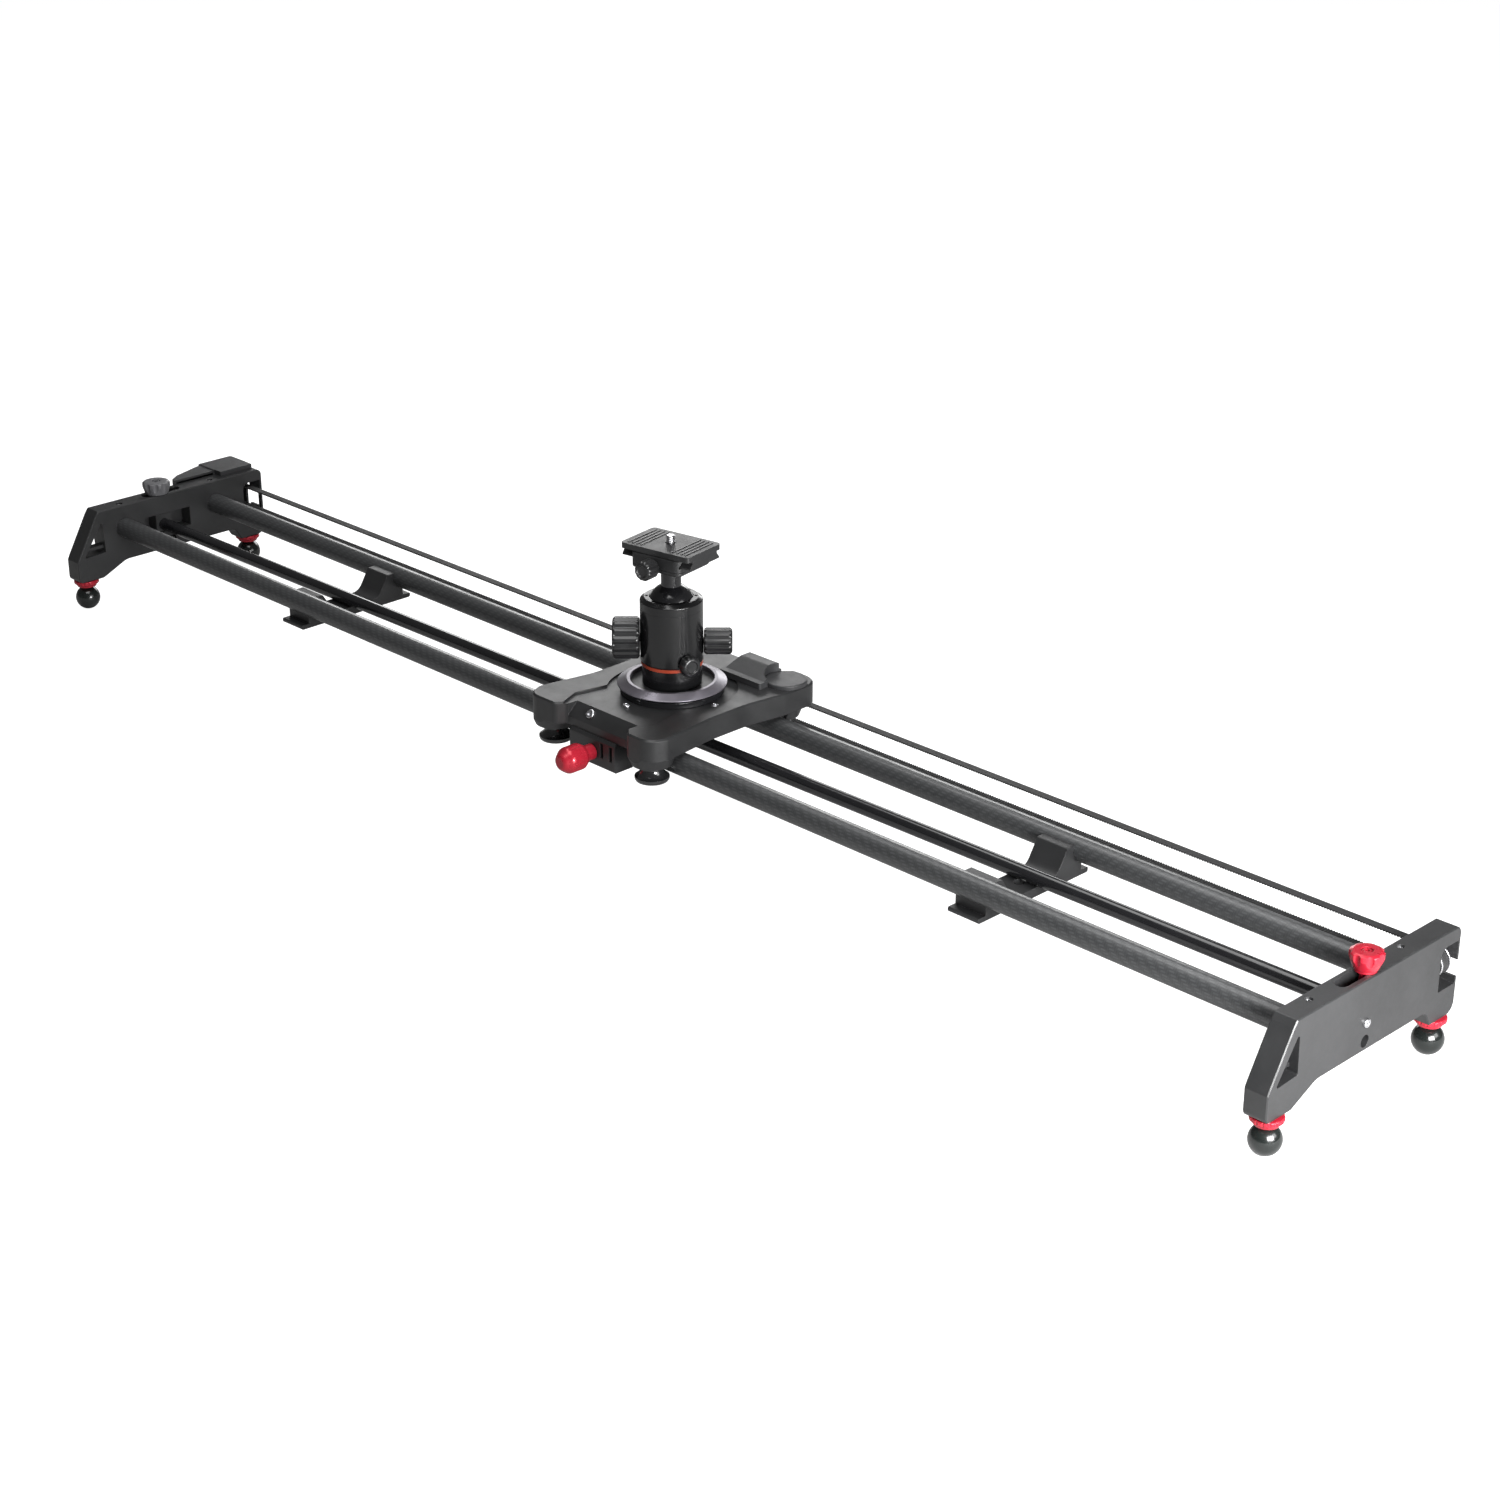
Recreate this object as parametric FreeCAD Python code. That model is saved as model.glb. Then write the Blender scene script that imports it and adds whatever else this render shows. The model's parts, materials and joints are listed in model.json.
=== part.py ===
"""Motorised two-rail camera slider with a belt-driven carriage, a pan turntable and a ball head.

Frame of the part: origin on the floor midway between the four feet, +X along the rails towards the
idler end, +Y towards the drive belt, +Z up. Millimetres.
"""
import FreeCAD, Part
import math
import os

V = FreeCAD.Vector
X_AXIS = V(1, 0, 0)
Y_AXIS = V(0, 1, 0)
Z_AXIS = V(0, 0, 1)

# ---- fits ----
HIDDEN_FIT = 0.02      # radial, between parts that are screwed or glued together
RUNNING_FIT = 0.05     # radial, between a shaft and the hole that it turns or slides in
AIR = 0.3              # between moving parts that pass each other
TINY = 1e-6

# ---- feet ----
FOOT_X = 600.0
FOOT_Y = 81.0
FOOT_BALL_R = 10.0
FOOT_STUD_R = 3.0
FOOT_STUD_TOP_Z = 41.0
LOCK_RING_R = 10.2
LOCK_RING_Z = (19.7, 25.4)

# ---- end plates ----
PLATE_X = (591.0, 607.3)
PLATE_MID_X = 599.2
PLATE_TOP_Z = 83.3
LEG_Z = 25.5
PLATE_BELLY_Z = 36.0
PLATE_REAR_Y = 93.8
PLATE_FRONT_Y = -92.6
ROD_POCKET_X = (590.0, 604.0)
ROD_POCKET_Y = (-25.5, 19.0)
ROD_POCKET_Z = (50.9, 67.0)
KNOB_SLOT_Y = (-16.6, 10.6)
KNOB_SLOT_R = 4.5
TRIPOD_HOLE_R = 3.97   # tapping size of a 3/8 inch screw
TRIPOD_HOLE_Z = 42.6
FACE_SCREW_Z = 54.6
FOOT_HOLE_SPARE = 1.5
RAIL_SOCKET_SPARE = 0.2
BEVEL = 0.7

# ---- rails ----
RAIL_Y = 45.0
RAIL_Z = 64.0
RAIL_R = 8.0
RAIL_WALL = 1.5
RAIL_END_X = 602.0
PLUG_LENGTH = 30.0
SET_SCREW_R = 2.5
SET_SCREW_X = 597.0

# ---- cross braces ----
BRACE_X = 348.0
BRACE_WIDTH = 25.0
BRACE_Z = (45.5, 52.0)
BRACE_SCREW_Y = 33.5

# ---- belt drive ----
BELT_Y = 81.0
BELT_WIDTH = 6.0
BELT_THICK = 1.3
BELT_AXIS_Z = 61.1
PULLEY_R = 7.4
PULLEY_TEETH = 18
IDLER_X = 597.6
DRIVE_X = -618.0
IDLER_SHOULDER_R = 2.5

# ---- drive housing on the left end plate ----
HOUSING_OUTER_X = -630.0
HOUSING_Y = (56.0, 90.0)
HOUSING_Z = (36.0, 87.2)
HOUSING_LIP_X = -598.0  # the housing's lid reaches this far over the end plate
COVER_Y = (17.0, 55.6)
COVER_Z = (37.0, 86.4)
SHELL = 1.8
BUTTON_POS = (65.0, 76.0)
POWER_SOCKET_POS = (66.0, 46.5)
CONTROL_SOCKET_Y = (73.5, 82.5)
CONTROL_SOCKET_Z = (44.0, 49.0)
IDLER_SEAT_Y = 74.0
MOTOR_FRONT_Y = 73.3

# ---- panning guide rod ----
ROD_R = 5.0
ROD_Z = 57.4
ROD_LEFT = V(-598.2, -6.5, ROD_Z)
ROD_RIGHT = V(598.2, 6.6, ROD_Z)
LEFT_KNOB = V(-599.2, -6.5, 0)
RIGHT_KNOB = V(599.2, 6.6, 0)
KNOB_STEM_R = 3.5
END_BLOCK_X = (592.0, 603.4)
END_BLOCK_HALF_Y = 7.5
END_BLOCK_Z = (51.3, 66.5)

# ---- carriage ----
CARRIAGE_X = 29.0
DECK_Z = (74.0, 90.0)
DECK_POCKET_Z = 78.0
DECK_POCKET_X = 48.0
DECK_POCKET_Y = (-66.0, 62.0)
DECK_SKIRT_Z = 66.0
DECK_RIGHT_LUG_X = 63.5
DECK_LEFT_LUG_X = 68.5
DECK_RIGHT_WAIST_X = 58.5
DECK_LEFT_WAIST_X = 60.0
DECK_FRONT_Y = -77.0
DECK_REAR_Y = 83.5
DECK_NOSE_Y = -69.5  # front edge between the lugs
PANEL_DEPTH = 1.2
SLOPE = ((-59.5, 90.0), (-69.5, 80.0))
ROLLER_X = (-54.5, 44.5)
ROLLER_Y = 60.8
ROLLER_NECK_R = 7.5
ROLLER_FLANGE_R = 12.0
ROLLER_HALF_HEIGHT = 10.5
BEARING_R = 5.5
AXLE_R = 2.5
BOSS_R = (14.3, 18.0)   # round roller cup at its mouth and where it meets the deck
CUP_R = 12.8
AXLE_TOP_Z = 85.0
BELT_CLAMP_Y = (64.0, 85.0)
DECK_SCREW_RING_R = 43.0
DECK_SCREW_R = 1.5
CAP_R = 15.0
CAP_PLACE = V(49.2, 62.8, 90.0)

# ---- carriage brake ----
BRAKE_X = 25.0
BRAKE_Z = 62.5
BRAKE_BLOCK_X = 23.0   # half-width about the carriage centre
BRAKE_BLOCK_Y = (-72.0, -55.0)
BRAKE_BLOCK_Z = 52.5
PLUNGER_R = 4.0

# ---- turntable ----
TABLE_R = 38.5
TABLE_Z = (93.4, 98.3)
TABLE_WELL_R = 29.5
TABLE_WELL_Z = 95.0
SPINDLE_R = 7.0
HEAD_STUD_R = 4.76     # 3/8 inch
FORK_Z = (66.4, 75.4)

# ---- ball head, built about its own axis, then turned and moved onto the turntable ----
HEAD_TURN = 45.5
HEAD_R = 21.9
CLAMP_TURN = 10.0
HEAD_BASE_R = 20.8
HEAD_BASE_Z = (TABLE_WELL_Z, 111.7)
HEAD_STUD_TOP_Z = 103.0
SCALE_RING_Z = (109.0, 111.4)
HOUSING_BOTTOM_Z = 112.0
BALL_Z = 151.5
BALL_R = 16.5
COLLAR_Z = (150.5, 158.5)
COLLAR_LIP_R = 15.0
NECK_R = 7.0
NECK_TOP_Z = 181.0
MAIN_KNOB_Z = 127.5
FRICTION_KNOB_Z = 125.0
PAN_KNOB_Z = 115.0
PAN_KNOB_ANGLE = -60.0
CLAMP_HALF_X = 21.0
CLAMP_HALF_Y = 19.0
CLAMP_Z = (181.0, 192.5)
JAW_Y = -12.0           # the moving jaw is the part of the clamp in front of this line
JAW_LOW_Z = 183.5
CLAMP_SCREW_Z = 185.3
CLAMP_SCREW_R = 1.9
GROOVE_Z = 187.0
GROOVE_HALF = 14.0     # half-width of the dovetail at its mouth
GROOVE_UNDERCUT = 3.0
PLATE_HALF_LENGTH = 29.0
QUICK_PLATE_TOP_Z = 197.0
CAMERA_SCREW_R = 3.175  # 1/4 inch
CAMERA_SCREW_TOP_Z = 202.5
CAMERA_THREAD_Z = 197.6
CAMERA_SHANK_R = 2.6    # relieved below the thread, so that the screw stays in the plate


# ---------------------------------------------------------------- shape helpers
def box(x, y, z):
    """Block between the limits x, y and z, each a (low, high) pair."""
    return Part.makeBox(x[1] - x[0], y[1] - y[0], z[1] - z[0], V(x[0], y[0], z[0]))


def rod(radius, start, end):
    """Round bar between two points."""
    return Part.makeCylinder(radius, (end - start).Length, start, end - start)


def joined(shapes):
    """One solid from overlapping or touching shapes."""
    shapes = list(shapes)
    return shapes[0].fuse(shapes[1:]).removeSplitter() if len(shapes) > 1 else shapes[0]


def outline(corners):
    """Closed wire in the XY plane through (a, b, radius) corners, each rounded by its radius."""
    count = len(corners)
    rounds = []
    for index, (a, b, radius) in enumerate(corners):
        here = V(a, b, 0)
        before = V(corners[index - 1][0], corners[index - 1][1], 0) - here
        after = V(corners[(index + 1) % count][0], corners[(index + 1) % count][1], 0) - here
        if radius == 0:
            rounds.append((here, here, here))
            continue
        before.normalize()
        after.normalize()
        half = before.getAngle(after) / 2
        reach = radius / math.tan(half)
        inward = before + after
        inward.normalize()
        middle = here + inward * (radius / math.sin(half) - radius)
        rounds.append((here + before * reach, middle, here + after * reach))
    edges = []
    for index, (start, middle, end) in enumerate(rounds):
        if (end - start).Length > TINY:
            edges.append(Part.Arc(start, middle, end).toShape())
        following = rounds[(index + 1) % count][0]
        if (following - end).Length > TINY:
            edges.append(Part.makeLine(end, following))
    return Part.Wire(edges)


def prism_z(corners, low, high):
    """Outline of (x, y, radius) corners, extruded between two heights."""
    face = Part.Face(outline(corners))
    face.translate(V(0, 0, low))
    return face.extrude(V(0, 0, high - low))


def prism_x(corners, low, high):
    """Outline of (y, z, radius) corners, extruded between two X values."""
    solid = prism_z(corners, low, high)
    solid.rotate(V(0, 0, 0), V(1, 1, 1), 120)
    return solid


def lathe(corners):
    """Solid of revolution about Z from a closed outline of (radius, height, rounding) corners."""
    face = Part.Face(outline(corners))
    face.rotate(V(0, 0, 0), X_AXIS, 90)
    return face.revolve(V(0, 0, 0), Z_AXIS, 360)


def placed(shape, at, along=Z_AXIS):
    """Copy of a shape built on +Z, moved to a point with its Z axis turned to a direction."""
    copy = shape.copy()
    copy.Placement = FreeCAD.Placement(at, FreeCAD.Rotation(Z_AXIS, along)).multiply(copy.Placement)
    return copy


def hexagon(across_flats, low, high):
    """Hexagonal bar on the Z axis."""
    radius = across_flats / math.sqrt(3)
    corners = []
    for side in range(6):
        angle = math.radians(60 * side)
        corners.append((radius * math.cos(angle), radius * math.sin(angle), 0))
    return prism_z(corners, low, high)


def cap_screw(head_r, head_h, shank_r, length):
    """Button-head screw with a hexagon socket, its head sitting on Z = 0 and its shank below."""
    head = lathe([(0, 0, 0), (head_r, 0, 0), (head_r, head_h, head_h * 0.6), (0, head_h, 0)])
    shank = rod(shank_r, V(0, 0, -length), V(0, 0, 0))
    socket = hexagon(head_r * 0.95, head_h * 0.35, head_h + 1)
    return joined([head, shank]).cut(socket)


def flutes(count, ring_r, flute_r, low, high):
    """Ring of upright cylinders that cut finger grips or teeth into a round part."""
    cuts = []
    for index in range(count):
        angle = 2 * math.pi * index / count
        centre = V(ring_r * math.cos(angle), ring_r * math.sin(angle), low)
        cuts.append(Part.makeCylinder(flute_r, high - low, centre))
    return cuts


def mirrored_x(shape):
    """The same part on the other end of the slider."""
    return shape.mirror(V(0, 0, 0), X_AXIS)


# ---------------------------------------------------------------- end plates and rails
def plate_profile():
    """Side outline of an end plate in (y, z): two legs, a slanted front and a straight top."""
    return [
        (-69.5, PLATE_TOP_Z, 0.8),
        (PLATE_REAR_Y, PLATE_TOP_Z, 5.0),
        (PLATE_REAR_Y, LEG_Z, 8.0),
        (69.0, LEG_Z, 1.0),
        (63.0, PLATE_BELLY_Z, 7.0),
        (-46.0, PLATE_BELLY_Z, 14.0),
        (-69.0, LEG_Z, 6.0),
        (PLATE_FRONT_Y, LEG_Z, 4.0),
        (PLATE_FRONT_Y, 43.8, 0.8),
        (-90.8, 47.5, 0.8),
        (-72.5, 79.2, 0.8),
    ]


def plate_blank():
    """End plate before its bores, with a bevel all round both faces."""
    blank = prism_x(plate_profile(), PLATE_X[0], PLATE_X[1])
    rim = []
    for edge in blank.Edges:
        limits = edge.BoundBox
        if limits.XLength < TINY:
            rim.append(edge)
    return blank.makeChamfer(BEVEL, rim)


def front_window():
    """Triangular lightening window in the front leg."""
    corners = [(-66.4, 74.8, 1.2), (-86.0, 45.9, 1.2), (-65.3, 47.1, 1.2)]
    return prism_x(corners, PLATE_X[0] - 1, PLATE_X[1] + 1)


def window_rib():
    """Cross rib low in the triangular window."""
    return box((PLATE_X[0] + 3, PLATE_X[1] - 6), (-84.0, -64.5), (50.4, 52.9))


def belt_window():
    """Opening in which the belt pulley stands, open to the rear side too."""
    corners = [(74.0, 45.5, 0.5), (91.8, 45.5, 0.5), (91.8, 74.0, 0.5), (74.0, 74.0, 6.0)]
    through = prism_x(corners, PLATE_X[0] - 1, PLATE_X[1] + 1)
    side = box((595.0, PLATE_X[1] + 1), (91.0, PLATE_REAR_Y + 1), (49.5, 61.0))
    return joined([through, side])


def rod_pocket():
    """Pocket in the inner face and slot in the top, where the guide rod's end block slides."""
    pocket = box(ROD_POCKET_X, ROD_POCKET_Y, ROD_POCKET_Z)
    slot = box((PLATE_MID_X - KNOB_SLOT_R, PLATE_MID_X + KNOB_SLOT_R), KNOB_SLOT_Y,
               (ROD_POCKET_Z[1] - 1, PLATE_TOP_Z + 1))
    ends = []
    for y in KNOB_SLOT_Y:
        foot = V(PLATE_MID_X, y, ROD_POCKET_Z[1] - 1)
        ends.append(rod(KNOB_SLOT_R, foot, V(foot.x, foot.y, PLATE_TOP_Z + 1)))
    return joined([pocket, slot] + ends)


def plate_bores():
    """Rail sockets, set screw holes, tripod thread, centre screw hole and foot threads."""
    cuts = []
    for side in (-1, 1):
        socket = V(PLATE_X[0] - 1, side * RAIL_Y, RAIL_Z)
        socket_end = V(RAIL_END_X + RAIL_SOCKET_SPARE, side * RAIL_Y, RAIL_Z)
        cuts.append(rod(RAIL_R + HIDDEN_FIT, socket, socket_end))
        hole = V(SET_SCREW_X, side * RAIL_Y, RAIL_Z)
        cuts.append(rod(SET_SCREW_R + HIDDEN_FIT, hole, V(hole.x, hole.y, PLATE_TOP_Z + 1)))
        foot = V(FOOT_X, side * FOOT_Y, LEG_Z - 1)
        foot_end = V(foot.x, foot.y, FOOT_STUD_TOP_Z + FOOT_HOLE_SPARE)
        cuts.append(rod(FOOT_STUD_R + RUNNING_FIT, foot, foot_end))
    thread = V(PLATE_X[1] + 1, 0, TRIPOD_HOLE_Z)
    cuts.append(rod(TRIPOD_HOLE_R, thread, V(PLATE_X[0] - 1, 0, TRIPOD_HOLE_Z)))
    screw = V(PLATE_X[1] + 1, 0, FACE_SCREW_Z)
    cuts.append(rod(2.0 + HIDDEN_FIT, screw, V(ROD_POCKET_X[1] - 1, 0, FACE_SCREW_Z)))
    return cuts


def end_plate():
    """Right-hand end plate; the left one is its mirror image with a few holes of its own."""
    cuts = [front_window(), belt_window(), rod_pocket()] + plate_bores()
    solid = plate_blank().cut(cuts)
    return solid.fuse(window_rib()).removeSplitter()


def right_end_plate():
    deep = V(IDLER_X, IDLER_SEAT_Y - 10.0, BELT_AXIS_Z)
    return end_plate().cut(rod(2.0 + HIDDEN_FIT, deep, V(deep.x, IDLER_SEAT_Y + 1, deep.z)))


def left_end_plate():
    """The belt runs straight through this plate to the pulley in the drive housing."""
    holes = []
    for y, z in housing_screw_places():
        start = V(-PLATE_X[1] - 1, y, z)
        holes.append(rod(1.5 + HIDDEN_FIT, start, V(start.x + 5.0, y, z)))
    return mirrored_x(end_plate()).cut(holes)


def rail_tube(side):
    outer = rod(RAIL_R, V(-RAIL_END_X, side * RAIL_Y, RAIL_Z), V(RAIL_END_X, side * RAIL_Y, RAIL_Z))
    inner_r = RAIL_R - RAIL_WALL
    inner = rod(inner_r, V(-RAIL_END_X - 1, side * RAIL_Y, RAIL_Z), V(RAIL_END_X + 1, side * RAIL_Y, RAIL_Z))
    return outer.cut(inner)


def rail_end_plugs():
    """Aluminium inserts glued into the tube ends, so that the set screws can't crush them."""
    radius = RAIL_R - RAIL_WALL - HIDDEN_FIT
    plugs = []
    for end in (-1, 1):
        for side in (-1, 1):
            start = V(end * RAIL_END_X, side * RAIL_Y, RAIL_Z)
            plugs.append(rod(radius, start, V(end * (RAIL_END_X - PLUG_LENGTH), start.y, start.z)))
    return Part.makeCompound(plugs)


def rail_set_screws():
    screws = []
    low = RAIL_Z + RAIL_R + HIDDEN_FIT
    body = rod(SET_SCREW_R, V(0, 0, 0), V(0, 0, PLATE_TOP_Z - 1.2 - low))
    socket = hexagon(2.5, PLATE_TOP_Z - low - 4.0, PLATE_TOP_Z - low)
    screw = body.cut(socket)
    for end in (-1, 1):
        for side in (-1, 1):
            screws.append(placed(screw, V(end * SET_SCREW_X, side * RAIL_Y, low)))
    return Part.makeCompound(screws)


def cross_brace(centre_x):
    """Saddle under both rails, with a horn beside each tube and a tripod thread in its middle."""
    half = [(0, BRACE_Z[1], 0), (21.0, BRACE_Z[1], 10.0), (31.5, 69.0, 1.5), (39.5, 69.0, 0.5),
            (39.5, RAIL_Z, 0), (46.0, RAIL_Z, 0), (46.0, 49.0, 0), (53.0, 49.0, 1.0),
            (53.0, BRACE_Z[0], 1.5)]
    front = [(-y, z, radius) for y, z, radius in reversed(half[1:])]
    profile = half[1:] + front
    solid = prism_x(profile, centre_x - BRACE_WIDTH / 2, centre_x + BRACE_WIDTH / 2)
    cuts = [rod(TRIPOD_HOLE_R, V(centre_x, 0, BRACE_Z[0] - 1), V(centre_x, 0, BRACE_Z[1] + 1))]
    for side in (-1, 1):
        tube = V(centre_x - BRACE_WIDTH, side * RAIL_Y, RAIL_Z)
        cuts.append(rod(RAIL_R + HIDDEN_FIT, tube, V(centre_x + BRACE_WIDTH, tube.y, tube.z)))
        hole = V(centre_x, side * BRACE_SCREW_Y, BRACE_Z[0] - 1)
        cuts.append(rod(2.0 + HIDDEN_FIT, hole, V(hole.x, hole.y, 62.0)))
        cuts.append(rod(4.0, hole, V(hole.x, hole.y, BRACE_Z[0] + 2.3)))
    return solid.cut(cuts)


def cap_screws():
    """Identical M4 screws: two in each cross brace and one in each end plate's outer face."""
    brace_screw = cap_screw(3.7, 2.1, 2.0, 13.0)
    screws = []
    for centre_x in (-BRACE_X, BRACE_X):
        for side in (-1, 1):
            seat = V(centre_x, side * BRACE_SCREW_Y, BRACE_Z[0] + 2.3)
            screws.append(placed(brace_screw, seat, V(0, 0, -1)))
    face_screw = cap_screw(2.9, 1.4, 2.0, 3.0)
    for end in (-1, 1):
        screws.append(placed(face_screw, V(end * PLATE_X[1], 0, FACE_SCREW_Z), V(end, 0, 0)))
    return Part.makeCompound(screws)


# ---------------------------------------------------------------- feet
def foot(end, side):
    """Rubber ball moulded round the head of its threaded stud, in one piece as it is supplied."""
    centre = V(end * FOOT_X, side * FOOT_Y, FOOT_BALL_R)
    ball = Part.makeSphere(FOOT_BALL_R, centre)
    stud = rod(FOOT_STUD_R, V(centre.x, centre.y, FOOT_BALL_R), V(centre.x, centre.y, FOOT_STUD_TOP_Z))
    flat = box((centre.x - 11, centre.x + 11), (centre.y - 11, centre.y + 11), (-1, 0.4))
    ball = ball.cut(flat)
    solid = joined([ball, stud])
    solid.translate(V(0, 0, -0.4))
    return solid


def foot_lock_rings():
    """Knurled lock nuts that jam the four feet."""
    height = LOCK_RING_Z[1] - LOCK_RING_Z[0]
    bore = FOOT_STUD_R + RUNNING_FIT
    body = lathe([(bore, 0, 0), (7.8, 0, 0.4), (8.6, 2.0, 0.4), (LOCK_RING_R, 3.0, 0.3),
                  (LOCK_RING_R, height - 0.6, 0.3), (LOCK_RING_R - 0.6, height, 0), (bore, height, 0)])
    ring = body.cut(flutes(16, LOCK_RING_R + 0.35, 0.9, 2.4, height + 1))
    rings = []
    for end in (-1, 1):
        for side in (-1, 1):
            rings.append(placed(ring, V(end * FOOT_X, side * FOOT_Y, LOCK_RING_Z[0])))
    return Part.makeCompound(rings)


# ---------------------------------------------------------------- belt drive
def loop_outline(radius):
    """Stadium outline in (z, x) round both belt pulleys."""
    low = BELT_AXIS_Z - radius
    high = BELT_AXIS_Z + radius
    right_top = V(IDLER_X, 0, high)
    right_bottom = V(IDLER_X, 0, low)
    left_top = V(DRIVE_X, 0, high)
    left_bottom = V(DRIVE_X, 0, low)
    return Part.Wire([
        Part.makeLine(left_top, right_top),
        Part.Arc(right_top, V(IDLER_X + radius, 0, BELT_AXIS_Z), right_bottom).toShape(),
        Part.makeLine(right_bottom, left_bottom),
        Part.Arc(left_bottom, V(DRIVE_X - radius, 0, BELT_AXIS_Z), left_top).toShape(),
    ])


def timing_belt():
    """Endless belt round both pulleys, its inner face just clear of their teeth."""
    inner_r = PULLEY_R + AIR
    outer = Part.Face(loop_outline(inner_r + BELT_THICK))
    inner = Part.Face(loop_outline(inner_r))
    outer.translate(V(0, BELT_Y - BELT_WIDTH / 2, 0))
    inner.translate(V(0, BELT_Y - BELT_WIDTH / 2, 0))
    return outer.extrude(V(0, BELT_WIDTH, 0)).cut(inner.extrude(V(0, BELT_WIDTH, 0)))


def pulley(bore_r):
    """Toothed pulley with two flanges, on Z, its belt seat centred on Z = 0."""
    seat = BELT_WIDTH / 2 + 0.5
    flange_r = PULLEY_R + 2.2
    body = lathe([(bore_r, -seat - 1.3, 0), (flange_r, -seat - 1.3, 0.3), (flange_r, -seat, 0.2),
                  (PULLEY_R, -seat, 0), (PULLEY_R, seat, 0), (flange_r, seat, 0.2),
                  (flange_r, seat + 1.3, 0.3), (bore_r, seat + 1.3, 0)])
    return body.cut(flutes(PULLEY_TEETH, PULLEY_R + 0.15, 0.6, -seat + 0.05, seat - 0.05))


def idler_pulley():
    return placed(pulley(IDLER_SHOULDER_R + RUNNING_FIT), V(IDLER_X, BELT_Y, BELT_AXIS_Z), Y_AXIS)


def idler_axle():
    """Shoulder screw that carries the idler pulley, screwed into the plate from the rear."""
    seat = V(IDLER_X, IDLER_SEAT_Y, BELT_AXIS_Z)
    shoulder_end = seat + Y_AXIS * 12.1
    head_end = shoulder_end + Y_AXIS * 2.4
    head = rod(4.2, shoulder_end, head_end)
    washer = rod(4.0, seat, seat + Y_AXIS * 1.9)
    shoulder = rod(IDLER_SHOULDER_R, seat, shoulder_end)
    thread = rod(2.0, seat - Y_AXIS * 9.5, seat)
    socket = placed(hexagon(3.0, -1.6, 1.0), head_end, Y_AXIS)
    return joined([head, washer, shoulder, thread]).cut(socket)


def drive_pulley():
    """Driven pulley on the end of the gear motor's shaft."""
    wheel = placed(pulley(1.5 + HIDDEN_FIT), V(DRIVE_X, BELT_Y, BELT_AXIS_Z), Y_AXIS)
    shaft = rod(1.5, V(DRIVE_X, MOTOR_FRONT_Y + AIR, BELT_AXIS_Z), V(DRIVE_X, BELT_Y + 4.5, BELT_AXIS_Z))
    hub = rod(1.8, V(DRIVE_X, BELT_Y - 4.6, BELT_AXIS_Z), V(DRIVE_X, BELT_Y + 4.0, BELT_AXIS_Z))
    return joined([wheel, shaft, hub])


def gear_motor():
    """Small geared motor, its gearbox towards the pulley and its terminals towards the board."""
    gearbox_y = MOTOR_FRONT_Y - 9.3
    can_y = gearbox_y - 14.5
    can = rod(6.0, V(DRIVE_X, can_y, BELT_AXIS_Z), V(DRIVE_X, gearbox_y, BELT_AXIS_Z))
    flats = box((DRIVE_X - 5, DRIVE_X + 5), (can_y - 1, gearbox_y + 1), (BELT_AXIS_Z - 7, BELT_AXIS_Z + 7))
    gearbox = box((DRIVE_X - 5, DRIVE_X + 5), (gearbox_y, MOTOR_FRONT_Y), (BELT_AXIS_Z - 6, BELT_AXIS_Z + 6))
    end_cap = rod(2.5, V(DRIVE_X, can_y - 1.3, BELT_AXIS_Z), V(DRIVE_X, can_y, BELT_AXIS_Z))
    return joined([can.common(flats), gearbox, end_cap])


def housing_screw_places():
    """(y, z) of the screws that hold the two covers to the plate."""
    return [(21.5, 43.0), (21.5, 79.0), (50.5, 43.0), (60.0, 41.0), (84.0, 41.0), (76.0, 79.5)]


def drive_housing():
    """Shell over the motor and the driven pulley, open towards the end plate."""
    inner_face = -PLATE_X[1]
    outer = prism_z([(HOUSING_OUTER_X, HOUSING_Y[0], 0.8), (inner_face, HOUSING_Y[0], 0),
                     (inner_face, HOUSING_Y[1], 0), (HOUSING_OUTER_X, HOUSING_Y[1], 3.0)],
                    HOUSING_Z[0], HOUSING_Z[1])
    top_edges = []
    for edge in outer.Edges:
        limits = edge.BoundBox
        if limits.ZLength < TINY and limits.XMin < inner_face - 1:
            top_edges.append(edge)
    outer = outer.makeChamfer(BEVEL, top_edges)
    lip = box((inner_face, HOUSING_LIP_X),
              (HOUSING_Y[0] + 1, HOUSING_Y[1] - 1),
              (PLATE_TOP_Z + HIDDEN_FIT, HOUSING_Z[1]))
    cavity = box((HOUSING_OUTER_X + SHELL, inner_face + 1),
                 (HOUSING_Y[0] + SHELL, HOUSING_Y[1] - SHELL),
                 (HOUSING_Z[0] + SHELL, HOUSING_Z[1] - SHELL))
    doorway = box((DRIVE_X - 6.4, inner_face + 1), (HOUSING_Y[0] - 1, HOUSING_Y[0] + SHELL + 1),
                  (BELT_AXIS_Z - 6.4, BELT_AXIS_Z + 6.4))
    button = rod(3.0 + RUNNING_FIT, V(HOUSING_OUTER_X - 1, *BUTTON_POS), V(HOUSING_OUTER_X + 3, *BUTTON_POS))
    wall = (HOUSING_OUTER_X - 1, HOUSING_OUTER_X + 3)
    power = rod(4.0, V(wall[0], *POWER_SOCKET_POS), V(wall[1], *POWER_SOCKET_POS))
    control = box(wall, CONTROL_SOCKET_Y, CONTROL_SOCKET_Z)
    return joined([outer.cut([cavity, doorway, button, power, control]), lip])


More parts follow.
